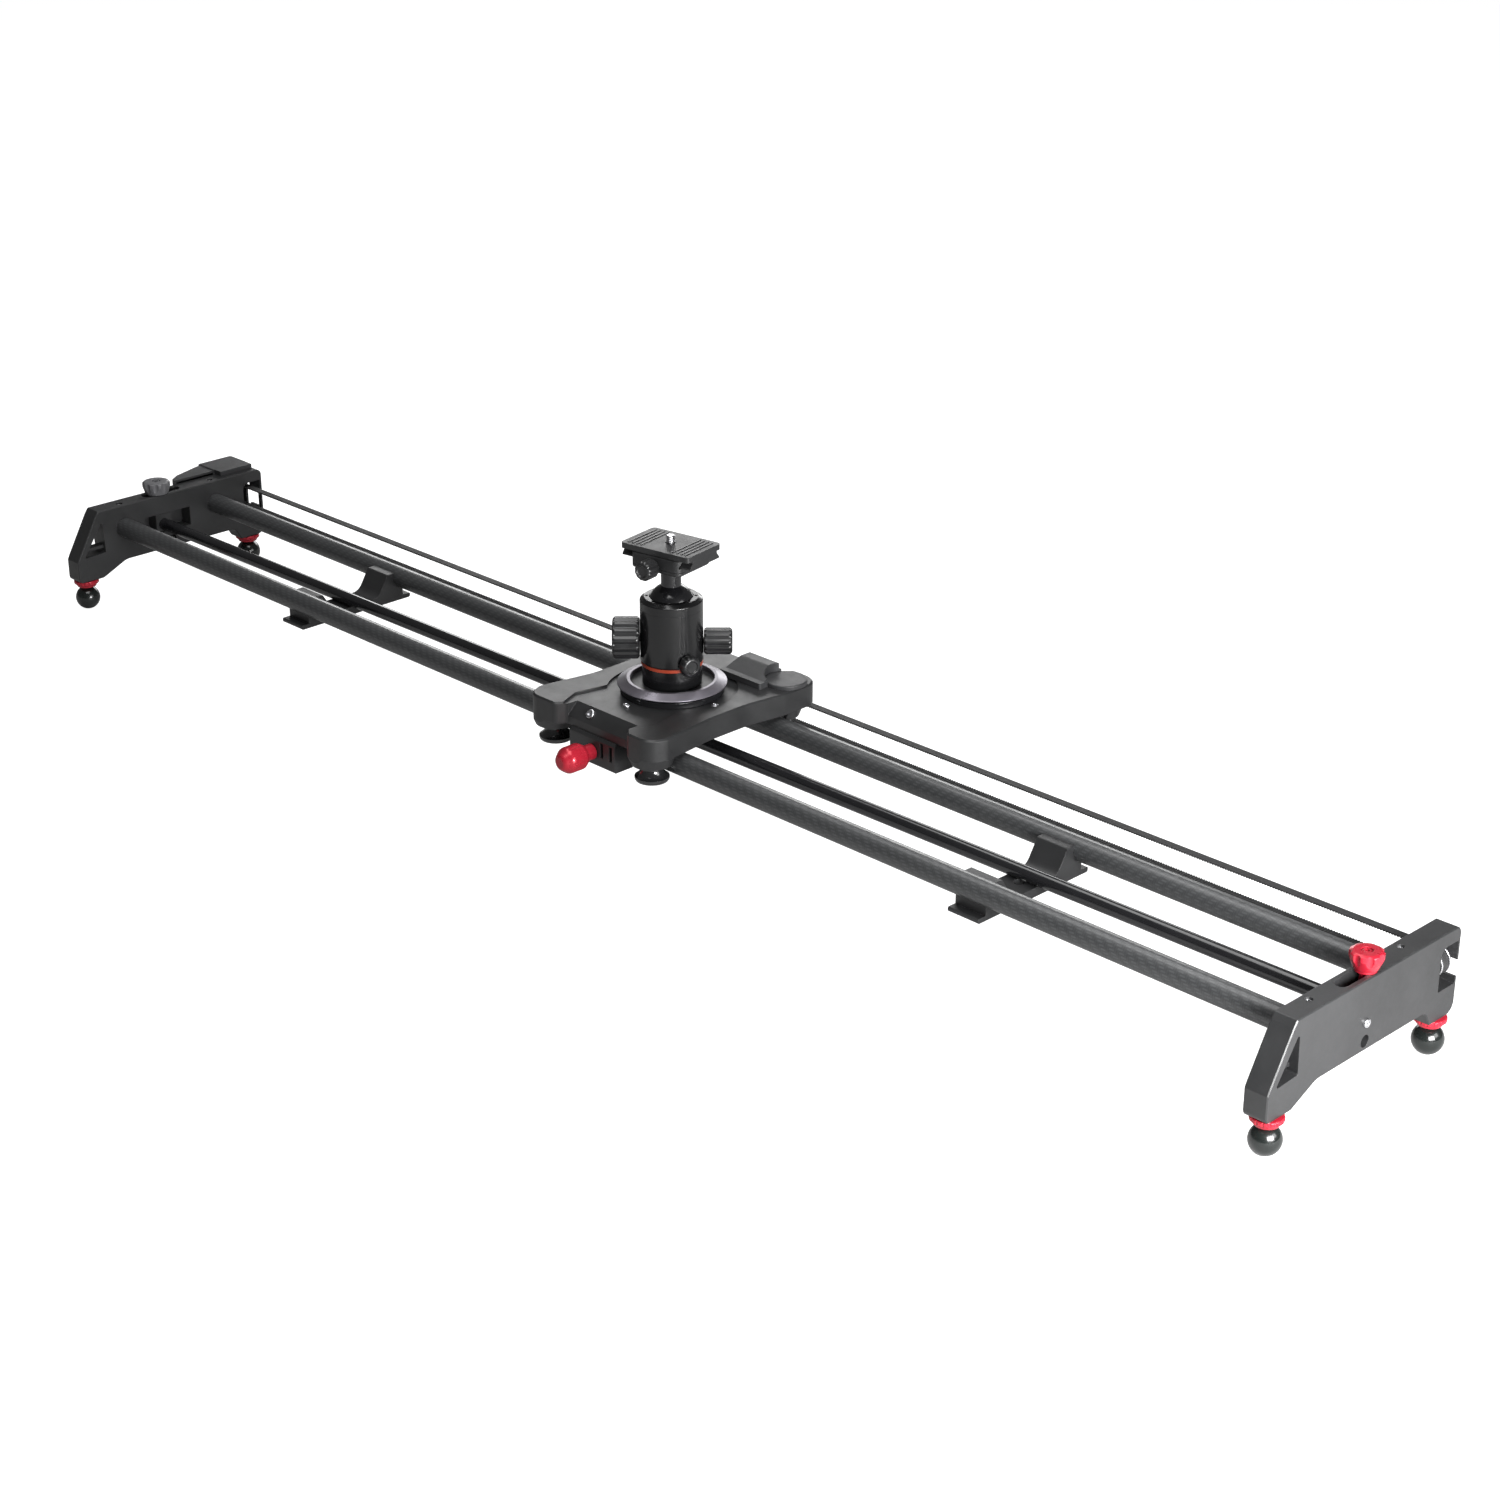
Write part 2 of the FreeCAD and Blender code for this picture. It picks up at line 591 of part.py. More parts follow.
def electronics_cover():
    """Tapered front half of the covers, with the control board behind it."""
    inner_face = -PLATE_X[1]
    corners = [(inner_face, COVER_Y[0], 0), (-611.5, COVER_Y[0], 1.5), (-618.0, 26.0, 6.0),
               (-627.0, 53.0, 1.0), (-627.0, COVER_Y[1], 0), (inner_face, COVER_Y[1], 0)]
    hollow = [(inner_face + 1, COVER_Y[0] + SHELL, 0), (-610.6, COVER_Y[0] + SHELL, 0),
              (-616.3, 26.6, 4.0), (-625.2, 53.3, 0), (-625.2, COVER_Y[1] + 1, 0),
              (inner_face + 1, COVER_Y[1] + 1, 0)]
    outer = prism_z(corners, COVER_Z[0], COVER_Z[1])
    inner = prism_z(hollow, COVER_Z[0] + SHELL, COVER_Z[1] - SHELL)
    return outer.cut(inner)


def control_board():
    """Motor control board standing against the end plate, with its chips and connector."""
    back = -PLATE_X[1] - AIR
    face = back - 1.5
    pieces = [box((face, back), (20.5, 45.0), (44.0, 80.0))]
    for y, z, size in ((24.0, 70.0, 7.0), (34.0, 72.0, 5.0), (26.0, 56.0, 5.0), (36.0, 58.0, 8.0)):
        pieces.append(box((face - 1.1, face + 0.1), (y, y + size), (z, z + size)))
    pieces.append(box((face - 3.7, face + 0.1), (38.0, 44.0), (46.0, 53.0)))
    return joined(pieces)


def sockets():
    """Round power socket and rectangular control socket behind the housing's outer wall."""
    x = HOUSING_OUTER_X
    low_y, high_y = CONTROL_SOCKET_Y
    low_z, high_z = CONTROL_SOCKET_Z
    barrel = rod(4.0 - HIDDEN_FIT, V(x + 0.3, *POWER_SOCKET_POS), V(x + 10, *POWER_SOCKET_POS))
    hole = rod(2.8, V(x, *POWER_SOCKET_POS), V(x + 8, *POWER_SOCKET_POS))
    pin = rod(0.9, V(x + 1.5, *POWER_SOCKET_POS), V(x + 9, *POWER_SOCKET_POS))
    power = joined([barrel.cut(hole), pin])
    block = box((x + 0.3, x + 9), (low_y + 0.05, high_y - 0.05), (low_z + 0.05, high_z - 0.05))
    mouth = box((x, x + 7), (low_y + 1.0, high_y - 1.0), (low_z + 0.9, high_z - 0.9))
    tongue = box((x + 1.5, x + 8), (low_y + 2.1, high_y - 2.1), (low_z + 2.1, high_z - 2.1))
    return Part.makeCompound([power, joined([block.cut(mouth), tongue])])


def power_button():
    """Round push button with a flange that keeps it behind the housing wall."""
    inner_wall = HOUSING_OUTER_X + SHELL
    y, z = BUTTON_POS
    cap = rod(3.0, V(HOUSING_OUTER_X - 1.2, y, z), V(inner_wall + 0.4, y, z))
    flange = rod(4.0, V(inner_wall + 0.1, y, z), V(inner_wall + 1.1, y, z))
    return joined([cap, flange])


# ---------------------------------------------------------------- panning guide rod
def guide_rod():
    return rod(ROD_R, ROD_LEFT, ROD_RIGHT)


def guide_rod_end_blocks():
    """Blocks on the rod's ends: the left one turns on its knob's stem, the right one slides."""
    blocks = []
    for knob, end in ((LEFT_KNOB, ROD_LEFT), (RIGHT_KNOB, ROD_RIGHT)):
        sign = 1 if knob.x > 0 else -1
        x = sorted((sign * END_BLOCK_X[0], sign * END_BLOCK_X[1]))
        block = box(x, (knob.y - END_BLOCK_HALF_Y, knob.y + END_BLOCK_HALF_Y), END_BLOCK_Z)
        rod_bore = rod(ROD_R + HIDDEN_FIT, end - (ROD_RIGHT - ROD_LEFT) * (sign * 0.02), end)
        stem_foot = V(knob.x, knob.y, ROD_Z + ROD_R + 0.5)
        stem_bore = rod(KNOB_STEM_R + RUNNING_FIT, stem_foot, V(knob.x, knob.y, END_BLOCK_Z[1] + 1))
        blocks.append(block.cut([rod_bore, stem_bore]))
    return Part.makeCompound(blocks)


def lobed_knob(top_r, bottom_r, height, lobes):
    """Finger knob that narrows downwards, with scalloped sides and a socket screw in its top."""
    body = lathe([(0, 0, 0), (bottom_r, 0, 0.8), (top_r, height * 0.62, 0.8), (top_r, height - 0.8, 1.2),
                  (top_r - 2.5, height, 0.5), (0, height, 0)])
    body = body.cut(flutes(lobes, top_r + 1.6, 3.0, height * 0.2, height + 1))
    recess = rod(3.6, V(0, 0, height - 2.2), V(0, 0, height + 1))
    screw = placed(cap_screw(3.3, 1.9, 1.5, 1.0), V(0, 0, height - 2.2))
    return joined([body.cut(recess), screw])


def angle_knob():
    """Red knob that locks the guide rod's angle; its stem passes the slot into the end block."""
    stem_low = ROD_Z + ROD_R + 0.8
    seat = PLATE_TOP_Z + 0.1
    stem = rod(KNOB_STEM_R, V(0, 0, stem_low), V(0, 0, seat + 3.0))
    washer = rod(6.8, V(0, 0, seat), V(0, 0, seat + 1.6))
    knob = placed(lobed_knob(10.3, 7.6, 11.1, 8), V(0, 0, seat + 1.6))
    return placed(joined([stem, washer, knob]), RIGHT_KNOB)


def left_lock_knob():
    """Low grey knob on the rod's pivot."""
    stem_low = ROD_Z + ROD_R + 0.8
    seat = PLATE_TOP_Z + 0.1
    stem = rod(KNOB_STEM_R, V(0, 0, stem_low), V(0, 0, seat + 3.0))
    knob = placed(lobed_knob(11.5, 9.6, 10.4, 10), V(0, 0, seat))
    return placed(joined([stem, knob]), LEFT_KNOB)


# ---------------------------------------------------------------- carriage
def at_carriage(shape):
    """Moves a part built about the carriage's centre to where the carriage stands."""
    shape.translate(V(CARRIAGE_X, 0, 0))
    return shape


def roller_places():
    """(name, x, y) of the four rollers about the carriage's centre."""
    places = []
    for row, side in (("front", -1), ("rear", 1)):
        for column, x in zip(("left", "right"), ROLLER_X):
            places.append((row + "_" + column, x, side * ROLLER_Y))
    return places


def deck_side(lug_x, waist_x):
    """Corners of one end of the deck's plan, from its front lug round its waist to its rear lug."""
    return [
        (32.0, DECK_NOSE_Y, 3.0),
        (37.0, DECK_FRONT_Y, 5.0),
        (lug_x - 5.5, DECK_FRONT_Y, 12.0),
        (lug_x, -64.0, 9.0),
        (waist_x, -20.0, 60.0),
        (waist_x, 16.0, 60.0),
        (lug_x, 48.0, 14.0),
        (lug_x, DECK_REAR_Y, 14.0),
        (36.0, DECK_REAR_Y, 5.0),
        (31.0, 74.0, 3.0),
    ]


def deck_outline():
    """Plan of the carriage: four lugs, a waist at each end and a set-back front edge."""
    left = [(-x, y, radius) for x, y, radius in reversed(deck_side(DECK_LEFT_LUG_X, DECK_LEFT_WAIST_X))]
    return deck_side(DECK_RIGHT_LUG_X, DECK_RIGHT_WAIST_X) + left


def roller_boss(x, y):
    """Round cup under a deck corner, widening upwards, over the upper half of its roller."""
    outward = -1 if y < 0 else 1
    height = DECK_Z[0] + 1 - DECK_SKIRT_Z
    cone = Part.makeCone(BOSS_R[0], BOSS_R[1], height, V(x, y, DECK_SKIRT_Z))
    y_limits = sorted((outward * (RAIL_Y + RAIL_R + 1.2), outward * 90.0))
    beyond_rail = box((x - BOSS_R[1], x + BOSS_R[1]), y_limits, (DECK_SKIRT_Z, DECK_Z[0] + 1))
    return cone.common(beyond_rail)


def deck_panel():
    """Sunk panel in the deck's top, round the turntable and forward to the front edge."""
    circle = rod(46.0, V(0, 0, DECK_Z[1] - PANEL_DEPTH), V(0, 0, DECK_Z[1] + 1))
    half = [(31.0, -10.0, 2.0), (41.0, -54.0, 6.0), (33.0, -73.0, 2.0)]
    left = [(-x, y, radius) for x, y, radius in reversed(half)]
    tongue = prism_z(half + left, DECK_Z[1] - PANEL_DEPTH, DECK_Z[1] + 1)
    return joined([circle, tongue])


def front_slope():
    """Wedge that bevels the deck's front edge between the lugs."""
    (top_y, top_z), (low_y, low_z) = SLOPE
    corners = [(top_y, top_z, 0), (top_y, top_z + 1, 0), (low_y - 3, top_z + 1, 0), (low_y - 3, low_z, 0),
               (low_y, low_z, 0)]
    return prism_x(corners, -31.0, 31.0)


def carriage_deck():
    """Cast deck with its lugs, roller cups, belt channel and bores."""
    plan = deck_outline()
    slab = prism_z(plan, DECK_Z[0], DECK_Z[1])
    rim = []
    for edge in slab.Edges:
        limits = edge.BoundBox
        if limits.ZLength < TINY and limits.ZMin > DECK_Z[1] - 0.1:
            rim.append(edge)
    slab = slab.makeChamfer(1.2, rim)
    pocket = box((-DECK_POCKET_X, DECK_POCKET_X), DECK_POCKET_Y, (DECK_Z[0] - 1, DECK_POCKET_Z))
    skirt = prism_z(plan, DECK_SKIRT_Z, DECK_Z[0] + 1)
    lugs = [slab.cut(pocket)]
    cuts = [deck_panel(), front_slope()]
    for _, x, y in roller_places():
        lugs.append(skirt.common(roller_boss(x, y)))
        cup_top = RAIL_Z + ROLLER_HALF_HEIGHT + 0.6
        cuts.append(rod(CUP_R, V(x, y, DECK_SKIRT_Z - 1), V(x, y, cup_top)))
        cuts.append(rod(AXLE_R + HIDDEN_FIT, V(x, y, DECK_SKIRT_Z), V(x, y, AXLE_TOP_Z)))
    cuts.append(rod(SPINDLE_R + RUNNING_FIT, V(0, 0, DECK_Z[0] - 1), V(0, 0, DECK_Z[1] + 1)))
    for x, y in deck_screw_places():
        cuts.append(rod(DECK_SCREW_R + HIDDEN_FIT, V(x, y, DECK_POCKET_Z + 2), V(x, y, DECK_Z[1] + 1)))
    seat, outward = slope_screw_place()
    cuts.append(rod(2.0 + HIDDEN_FIT, seat - outward * 6.2, seat + outward))
    return at_carriage(joined(lugs).cut(cuts))


def deck_screw_places():
    """(x, y) of the four screws round the turntable."""
    return [(DECK_SCREW_RING_R, 0), (0, DECK_SCREW_RING_R), (-DECK_SCREW_RING_R, 0), (0, -DECK_SCREW_RING_R)]


def slope_screw_place():
    """Seat and direction of the screw in the bevelled front edge."""
    (top_y, top_z), (low_y, low_z) = SLOPE
    seat = V(-13.0, (top_y + low_y) / 2, (top_z + low_z) / 2)
    outward = V(0, low_z - top_z, top_y - low_y)
    outward.normalize()
    return seat, outward


def deck_screws():
    screws = []
    small = cap_screw(DECK_SCREW_R * 1.7, DECK_SCREW_R * 0.8, DECK_SCREW_R, 8.0)
    for x, y in deck_screw_places():
        screws.append(placed(small, V(x, y, DECK_Z[1] - PANEL_DEPTH)))
    large = cap_screw(3.4, 1.6, 2.0, 6.0)
    screws.append(placed(large, *slope_screw_place()))
    return at_carriage(Part.makeCompound(screws))


def roller_wheel():
    """Grooved roller on Z, centred on Z = 0; its groove follows the rail tube."""
    half = ROLLER_HALF_HEIGHT
    bore_r = BEARING_R + RUNNING_FIT
    body = lathe([(bore_r, -half, 0), (ROLLER_FLANGE_R - 0.8, -half, 0.8),
                  (ROLLER_FLANGE_R, -half + 1.6, 0.6), (ROLLER_FLANGE_R, half - 1.6, 0.6),
                  (ROLLER_FLANGE_R - 0.8, half, 0.8), (bore_r, half, 0)])
    groove_r = RAIL_R + AIR
    groove_centre = ROLLER_NECK_R + groove_r
    groove = Part.makeTorus(groove_centre, groove_r)
    return body.cut(groove)


def roller(x, y):
    return at_carriage(placed(roller_wheel(), V(x, y, RAIL_Z)))


def roller_bearings():
    """Two ball bearings in each roller, drawn as plain rings."""
    rings = []
    for _, x, y in roller_places():
        for level in (-7.5, 3.5):
            low = V(x, y, RAIL_Z + level)
            high = V(x, y, RAIL_Z + level + 4.0)
            rings.append(rod(BEARING_R, low, high).cut(rod(AXLE_R + HIDDEN_FIT, low, high)))
    return at_carriage(Part.makeCompound(rings))


def roller_axles():
    """Shoulder screws that hold the rollers under the deck."""
    low = RAIL_Z - ROLLER_HALF_HEIGHT
    screw = placed(cap_screw(5.2, 2.2, AXLE_R, AXLE_TOP_Z - 0.5 - low + 0.3), V(0, 0, 0), V(0, 0, -1))
    screws = []
    for _, x, y in roller_places():
        screws.append(placed(screw, V(x, y, low - 0.3)))
    return at_carriage(Part.makeCompound(screws))


def brake_block():
    """Block under the deck's front edge that guides the brake plunger."""
    front, rear = BRAKE_BLOCK_Y
    step = DECK_POCKET_Y[0] + HIDDEN_FIT
    corners = [(rear, BRAKE_BLOCK_Z, 1.0), (rear, DECK_POCKET_Z, 0), (step, DECK_POCKET_Z, 0),
               (step, DECK_Z[0], 0), (front + 1.5, DECK_Z[0], 0), (front, 72.0, 1.0),
               (front, BRAKE_BLOCK_Z, 1.5)]
    block = prism_x(corners, -BRAKE_BLOCK_X, BRAKE_BLOCK_X)
    bore = rod(PLUNGER_R + RUNNING_FIT, V(0, -65.0, BRAKE_Z), V(0, -50.0, BRAKE_Z))
    screw_way = rod(2.5 + RUNNING_FIT, V(0, -80.0, BRAKE_Z), V(0, -50.0, BRAKE_Z))
    slots = []
    for x in (8.5, 17.5):
        slots.append(box((x, x + 3.0), (-80.0, -68.0), (60.0, 71.0)))
    return placed(block.cut([bore, screw_way] + slots), V(BRAKE_X, 0, 0))


def brake_knob():
    """Red knob with a silver collar, on the screw that drives the plunger."""
    screw = rod(2.5, V(0, 0, -6.6), V(0, 0, 6.0))
    collar = lathe([(0, 0.3, 0), (5.6, 0.3, 0.3), (5.6, 8.6, 0.3), (0, 8.6, 0)])
    grip = lathe([(0, 8.3, 0), (7.2, 8.3, 0.6), (9.4, 12.0, 2.5), (9.4, 23.5, 5.0),
                  (5.0, 29.5, 4.0), (0, 29.5, 0)])
    grip = grip.cut(flutes(10, 10.4, 1.4, 11.0, 27.0))
    knob = joined([screw, collar, grip])
    return placed(knob, V(BRAKE_X, BRAKE_BLOCK_Y[0], BRAKE_Z), V(0, -1, 0))


def brake_plunger():
    """Plunger that the knob presses against the front rail."""
    tip = -(RAIL_Y + RAIL_R + 1.0)
    return rod(PLUNGER_R, V(BRAKE_X, -64.9, BRAKE_Z), V(BRAKE_X, tip, BRAKE_Z))


def belt_clamp():
    """Clamp hung under the deck that grips the belt's upper run."""
    upper = BELT_AXIS_Z + PULLEY_R + AIR
    body = box((-9.0, 9.0), BELT_CLAMP_Y, (DECK_SKIRT_Z + 0.5, DECK_Z[0]))
    slot = box((-10.0, 10.0), (BELT_Y - BELT_WIDTH / 2 - AIR, BELT_CLAMP_Y[1] + 1),
               (upper - AIR, upper + BELT_THICK + AIR))
    return at_carriage(body.cut(slot))


def belt_clamp_cover():
    """Stepped cover on the rear of the deck, over the pan drive."""
    deck = DECK_Z[1]
    plan = [(5.0, 40.0, 1.5), (46.0, 40.0, 1.5), (46.0, 71.0, 1.5), (5.0, 71.0, 1.5)]
    low = prism_z(plan, deck, deck + 4.5)
    rise = [(45.0, deck + 3.0, 0), (69.5, deck + 3.0, 0), (69.5, deck + 9.4, 1.0),
            (60.0, deck + 9.4, 8.0), (45.0, deck + 4.5, 0)]
    high = prism_x(rise, 7.0, 45.0)
    room = rod(CAP_R + 0.1, CAP_PLACE, CAP_PLACE + V(0, 0, 12.0))
    return at_carriage(joined([low, high]).cut(room))


def round_cap():
    """Round cap over the rear right roller's axle."""
    cap = lathe([(0, 0, 0), (CAP_R, 0, 0), (CAP_R, 3.2, 1.0), (0, 3.2, 0)])
    return at_carriage(placed(cap, CAP_PLACE))


# ---------------------------------------------------------------- turntable
def turntable_bearing():
    """Fixed race of the turntable, let into the deck's panel."""
    floor = DECK_Z[1] - PANEL_DEPTH
    return at_carriage(lathe([(26.0, floor, 0), (36.5, floor, 0.3), (36.5, TABLE_Z[0] - AIR, 0.3),
                              (26.0, TABLE_Z[0] - AIR, 0.3)]))


def turntable_rim():
    """Light bevelled ring round the turntable."""
    low, high = TABLE_Z
    return at_carriage(lathe([(TABLE_WELL_R, low, 0), (TABLE_R - 3.0, low, 0.4), (TABLE_R, low + 1.3, 0.4),
                              (TABLE_R, low + 2.0, 0.5), (TABLE_WELL_R + 2.2, high, 0.5),
                              (TABLE_WELL_R, high, 0.4)]))


def turntable_disc():
    """Disc inside the rim, clamped to the spindle and carrying the ball head."""
    low = DECK_Z[1] - PANEL_DEPTH + AIR
    disc = lathe([(SPINDLE_R + HIDDEN_FIT, low, 0), (24.0, low, 0.5), (24.0, TABLE_Z[0], 0),
                  (TABLE_WELL_R - HIDDEN_FIT, TABLE_Z[0], 0), (TABLE_WELL_R - HIDDEN_FIT, TABLE_WELL_Z, 0),
                  (SPINDLE_R + HIDDEN_FIT, TABLE_WELL_Z, 0)])
    return at_carriage(disc)


def pan_spindle():
    """Spindle through the deck, ending in the 3/8 inch screw that holds the ball head."""
    spindle = rod(SPINDLE_R, V(0, 0, FORK_Z[1] - 4.0), V(0, 0, TABLE_WELL_Z))
    stud = rod(HEAD_STUD_R, V(0, 0, TABLE_WELL_Z), V(0, 0, HEAD_STUD_TOP_Z))
    return at_carriage(joined([spindle, stud]))


def pan_fork():
    """Fork on the spindle's lower end that can take hold of the guide rod; it is lifted clear."""
    arm = box((-19.0, 19.0), (-6.5, 6.5), (FORK_Z[1] - 4.0, FORK_Z[1]))
    prongs = []
    for side in (-1, 1):
        x = sorted((side * 11.0, side * 15.0))
        prongs.append(box(x, (-4.0, 4.0), (FORK_Z[0], FORK_Z[1])))
    hub = rod(9.5, V(0, 0, FORK_Z[1] - 5.0), V(0, 0, FORK_Z[1]))
    bore = rod(SPINDLE_R + HIDDEN_FIT, V(0, 0, FORK_Z[0] - 1), V(0, 0, FORK_Z[1] + 1))
    return at_carriage(joined([arm, hub] + prongs).cut(bore))


# ---------------------------------------------------------------- ball head
def on_head(shape):
    """Turns a part built about the head's axis, and moves it to the turntable's centre."""
    shape.rotate(V(0, 0, 0), Z_AXIS, HEAD_TURN)
    return at_carriage(shape)


def head_base():
    """Fixed base of the ball head, screwed down by the turntable's stud."""
    low, high = HEAD_BASE_Z
    groove_low, groove_high = SCALE_RING_Z
    base = lathe([(0, low, 0), (HEAD_BASE_R, low, 0.6), (HEAD_BASE_R, groove_low, 0),
                  (19.9, groove_low, 0), (19.9, groove_high, 0), (HEAD_BASE_R, groove_high, 0),
                  (HEAD_BASE_R, high, 0), (0, high, 0)])
    stud_hole = rod(HEAD_STUD_R + HIDDEN_FIT, V(0, 0, low - 1), V(0, 0, HEAD_STUD_TOP_Z + 0.5))
    return on_head(base.cut(stud_hole))


def pan_scale_ring():
    """Thin orange ring let into the base."""
    low, high = SCALE_RING_Z[0] + HIDDEN_FIT, SCALE_RING_Z[1] - HIDDEN_FIT
    return on_head(lathe([(19.9 + HIDDEN_FIT, low, 0), (HEAD_R - 0.3, low, 0.5), (HEAD_R - 0.3, high, 0.5),
                          (19.9 + HIDDEN_FIT, high, 0)]))


def drop_notch(reach):
    """Slot through which the neck lies down for upright pictures."""
    width = NECK_R + 1.3
    slot = box((-width, width), (0, reach), (BALL_Z, COLLAR_Z[1] + 5))
    end = rod(width, V(0, 0, BALL_Z), V(0, reach, BALL_Z))
    return joined([slot, end])


def head_housing():
    """Body of the ball head: it turns on the base and holds the ball."""
    low = HOUSING_BOTTOM_Z
    body = lathe([(0, low, 0), (HEAD_R, low, 0.6), (HEAD_R, COLLAR_Z[0], 0), (0, COLLAR_Z[0], 0)])
    cavity = Part.makeSphere(BALL_R + AIR, V(0, 0, BALL_Z))
    well = rod(11.0, V(0, 0, 134.0), V(0, 0, BALL_Z))
    screws = [
        rod(3.0 + RUNNING_FIT, V(-30.0, 0, MAIN_KNOB_Z), V(-10.0, 0, MAIN_KNOB_Z)),
        rod(2.0 + RUNNING_FIT, V(30.0, 0, FRICTION_KNOB_Z), V(10.0, 0, FRICTION_KNOB_Z)),
    ]
    angle = math.radians(PAN_KNOB_ANGLE)
    way = V(math.cos(angle), math.sin(angle), 0)
    screws.append(rod(2.0 + RUNNING_FIT, way * 30 + V(0, 0, PAN_KNOB_Z), way * 8.5 + V(0, 0, PAN_KNOB_Z)))
    return on_head(body.cut([cavity, well, drop_notch(30.0)] + screws))


def head_collar():
    """Screwed ring that closes the housing over the ball, with spanner notches inside its rim."""
    low, high = COLLAR_Z
    ring = lathe([(COLLAR_LIP_R, low, 0), (HEAD_R, low, 0), (HEAD_R, high - 2.2, 1.0),
                  (HEAD_R - 3.0, high, 0.6), (COLLAR_LIP_R, high, 0)])
    clear = Part.makeSphere(BALL_R + AIR, V(0, 0, BALL_Z))
    notches = flutes(8, COLLAR_LIP_R + 2.0, 1.3, high - 1.6, high + 1)
    return on_head(ring.cut([clear, drop_notch(30.0)] + notches))


def ball_stem():
    """Polished ball with its neck, which screws into the quick-release clamp."""
    ball = Part.makeSphere(BALL_R, V(0, 0, BALL_Z))
    neck = lathe([(0, BALL_Z, 0), (NECK_R, BALL_Z, 0), (NECK_R, NECK_TOP_Z - 4.5, 2.0), (9.5, NECK_TOP_Z, 0),
                  (3.0, NECK_TOP_Z, 0), (3.0, NECK_TOP_Z + 1.8, 0.3), (0, NECK_TOP_Z + 1.8, 0)])
    return on_head(joined([ball, neck]))


def head_knob(radius, near, far, stem_r, stem_in, lobes, flute_r):
    """Screw knob on +Z: stem from stem_in to near, then a scalloped grip out to far."""
    stem = rod(stem_r, V(0, 0, stem_in), V(0, 0, near + 1))
    grip = lathe([(0, near, 0), (radius - 1.2, near, 0.6), (radius, near + 2.0, 0.8),
                  (radius, far - 2.4, 1.0), (radius - 1.8, far, 0.6), (radius * 0.55, far, 0.3),
                  (radius * 0.5, far - 0.8, 0.3), (0, far - 0.8, 0)])
    grip = grip.cut(flutes(lobes, radius + flute_r * 0.72, flute_r, near + 1.2, far - 1.2))
    return joined([stem, grip])


def main_knob():
    knob = head_knob(14.8, HEAD_R + AIR, 41.0, 3.0, 12.0, 9, 4.0)
    return on_head(placed(knob, V(0, 0, MAIN_KNOB_Z), V(-1, 0, 0)))


def friction_knob():
    knob = head_knob(9.4, HEAD_R + AIR, 42.0, 2.0, 12.0, 10, 1.8)
    return on_head(placed(knob, V(0, 0, FRICTION_KNOB_Z), X_AXIS))


def pan_knob():
    angle = math.radians(PAN_KNOB_ANGLE)
    knob = head_knob(7.4, HEAD_R + AIR, 29.5, 2.0, 10.0, 8, 1.6)
    return on_head(placed(knob, V(0, 0, PAN_KNOB_Z), V(math.cos(angle), math.sin(angle), 0)))


def on_clamp(shape):
    """Turns a part built about the clamp's axis, and moves it to the turntable's centre."""
    shape.rotate(V(0, 0, 0), Z_AXIS, CLAMP_TURN)
    return at_carriage(shape)


def groove_profile(widen):
    """Dovetail section in (y, z): narrow mouth at the top, wide floor."""
    mouth = GROOVE_HALF + widen
    floor = mouth + GROOVE_UNDERCUT
    top = CLAMP_Z[1] + 1
    bottom = GROOVE_Z - (AIR if widen > 0 else 0)
    return [(-mouth, top, 0), (-mouth, CLAMP_Z[1] - 0.5, 0), (-floor, bottom + 1.2, 0), (-floor, bottom, 0),
            (floor, bottom, 0), (floor, bottom + 1.2, 0), (mouth, CLAMP_Z[1] - 0.5, 0), (mouth, top, 0)]


def clamp_blank():
    half_x, half_y = CLAMP_HALF_X, CLAMP_HALF_Y
    corners = [(-half_x, -half_y, 5.0), (half_x, -half_y, 5.0), (half_x, half_y, 5.0), (-half_x, half_y, 5.0)]
    blank = prism_z(corners, CLAMP_Z[0], CLAMP_Z[1])
    rim = [edge for edge in blank.Edges if edge.BoundBox.ZLength < TINY]
    return blank.makeChamfer(0.8, rim)


def clamp_base():
    """Quick-release clamp on the neck, with a dovetail groove along its local X axis."""
    body = clamp_blank().cut(prism_x(groove_profile(AIR), -30.0, 30.0))
    body = body.cut(box((-30, 30), (-30, JAW_Y), (JAW_LOW_Z, 200.0)))
    cuts = [rod(3.0 + HIDDEN_FIT, V(0, 0, CLAMP_Z[0] - 1), V(0, 0, NECK_TOP_Z + 2.0))]
    screw_hole = rod(CLAMP_SCREW_R + RUNNING_FIT, V(0, -30, CLAMP_SCREW_Z), V(0, 12.0, CLAMP_SCREW_Z))
    cuts.append(screw_hole)
    return on_clamp(body.cut(cuts))


def clamp_jaw():
    """Jaw that the clamp knob draws in against the plate."""
    body = clamp_blank().cut(prism_x(groove_profile(AIR), -30.0, 30.0))
    body = body.common(box((-30, 30), (-30, JAW_Y - AIR), (JAW_LOW_Z + AIR, 200.0)))
    hole = rod(CLAMP_SCREW_R + RUNNING_FIT, V(0, -30, CLAMP_SCREW_Z), V(0, 12.0, CLAMP_SCREW_Z))
    return on_clamp(body.cut(hole))


def clamp_knob():
    """Knob on the screw that passes the jaw."""
    knob = head_knob(7.0, 21.0, 33.0, CLAMP_SCREW_R, -11.0, 8, 1.5)
    return on_clamp(placed(knob, V(0, 0, CLAMP_SCREW_Z), V(0, -1, 0)))


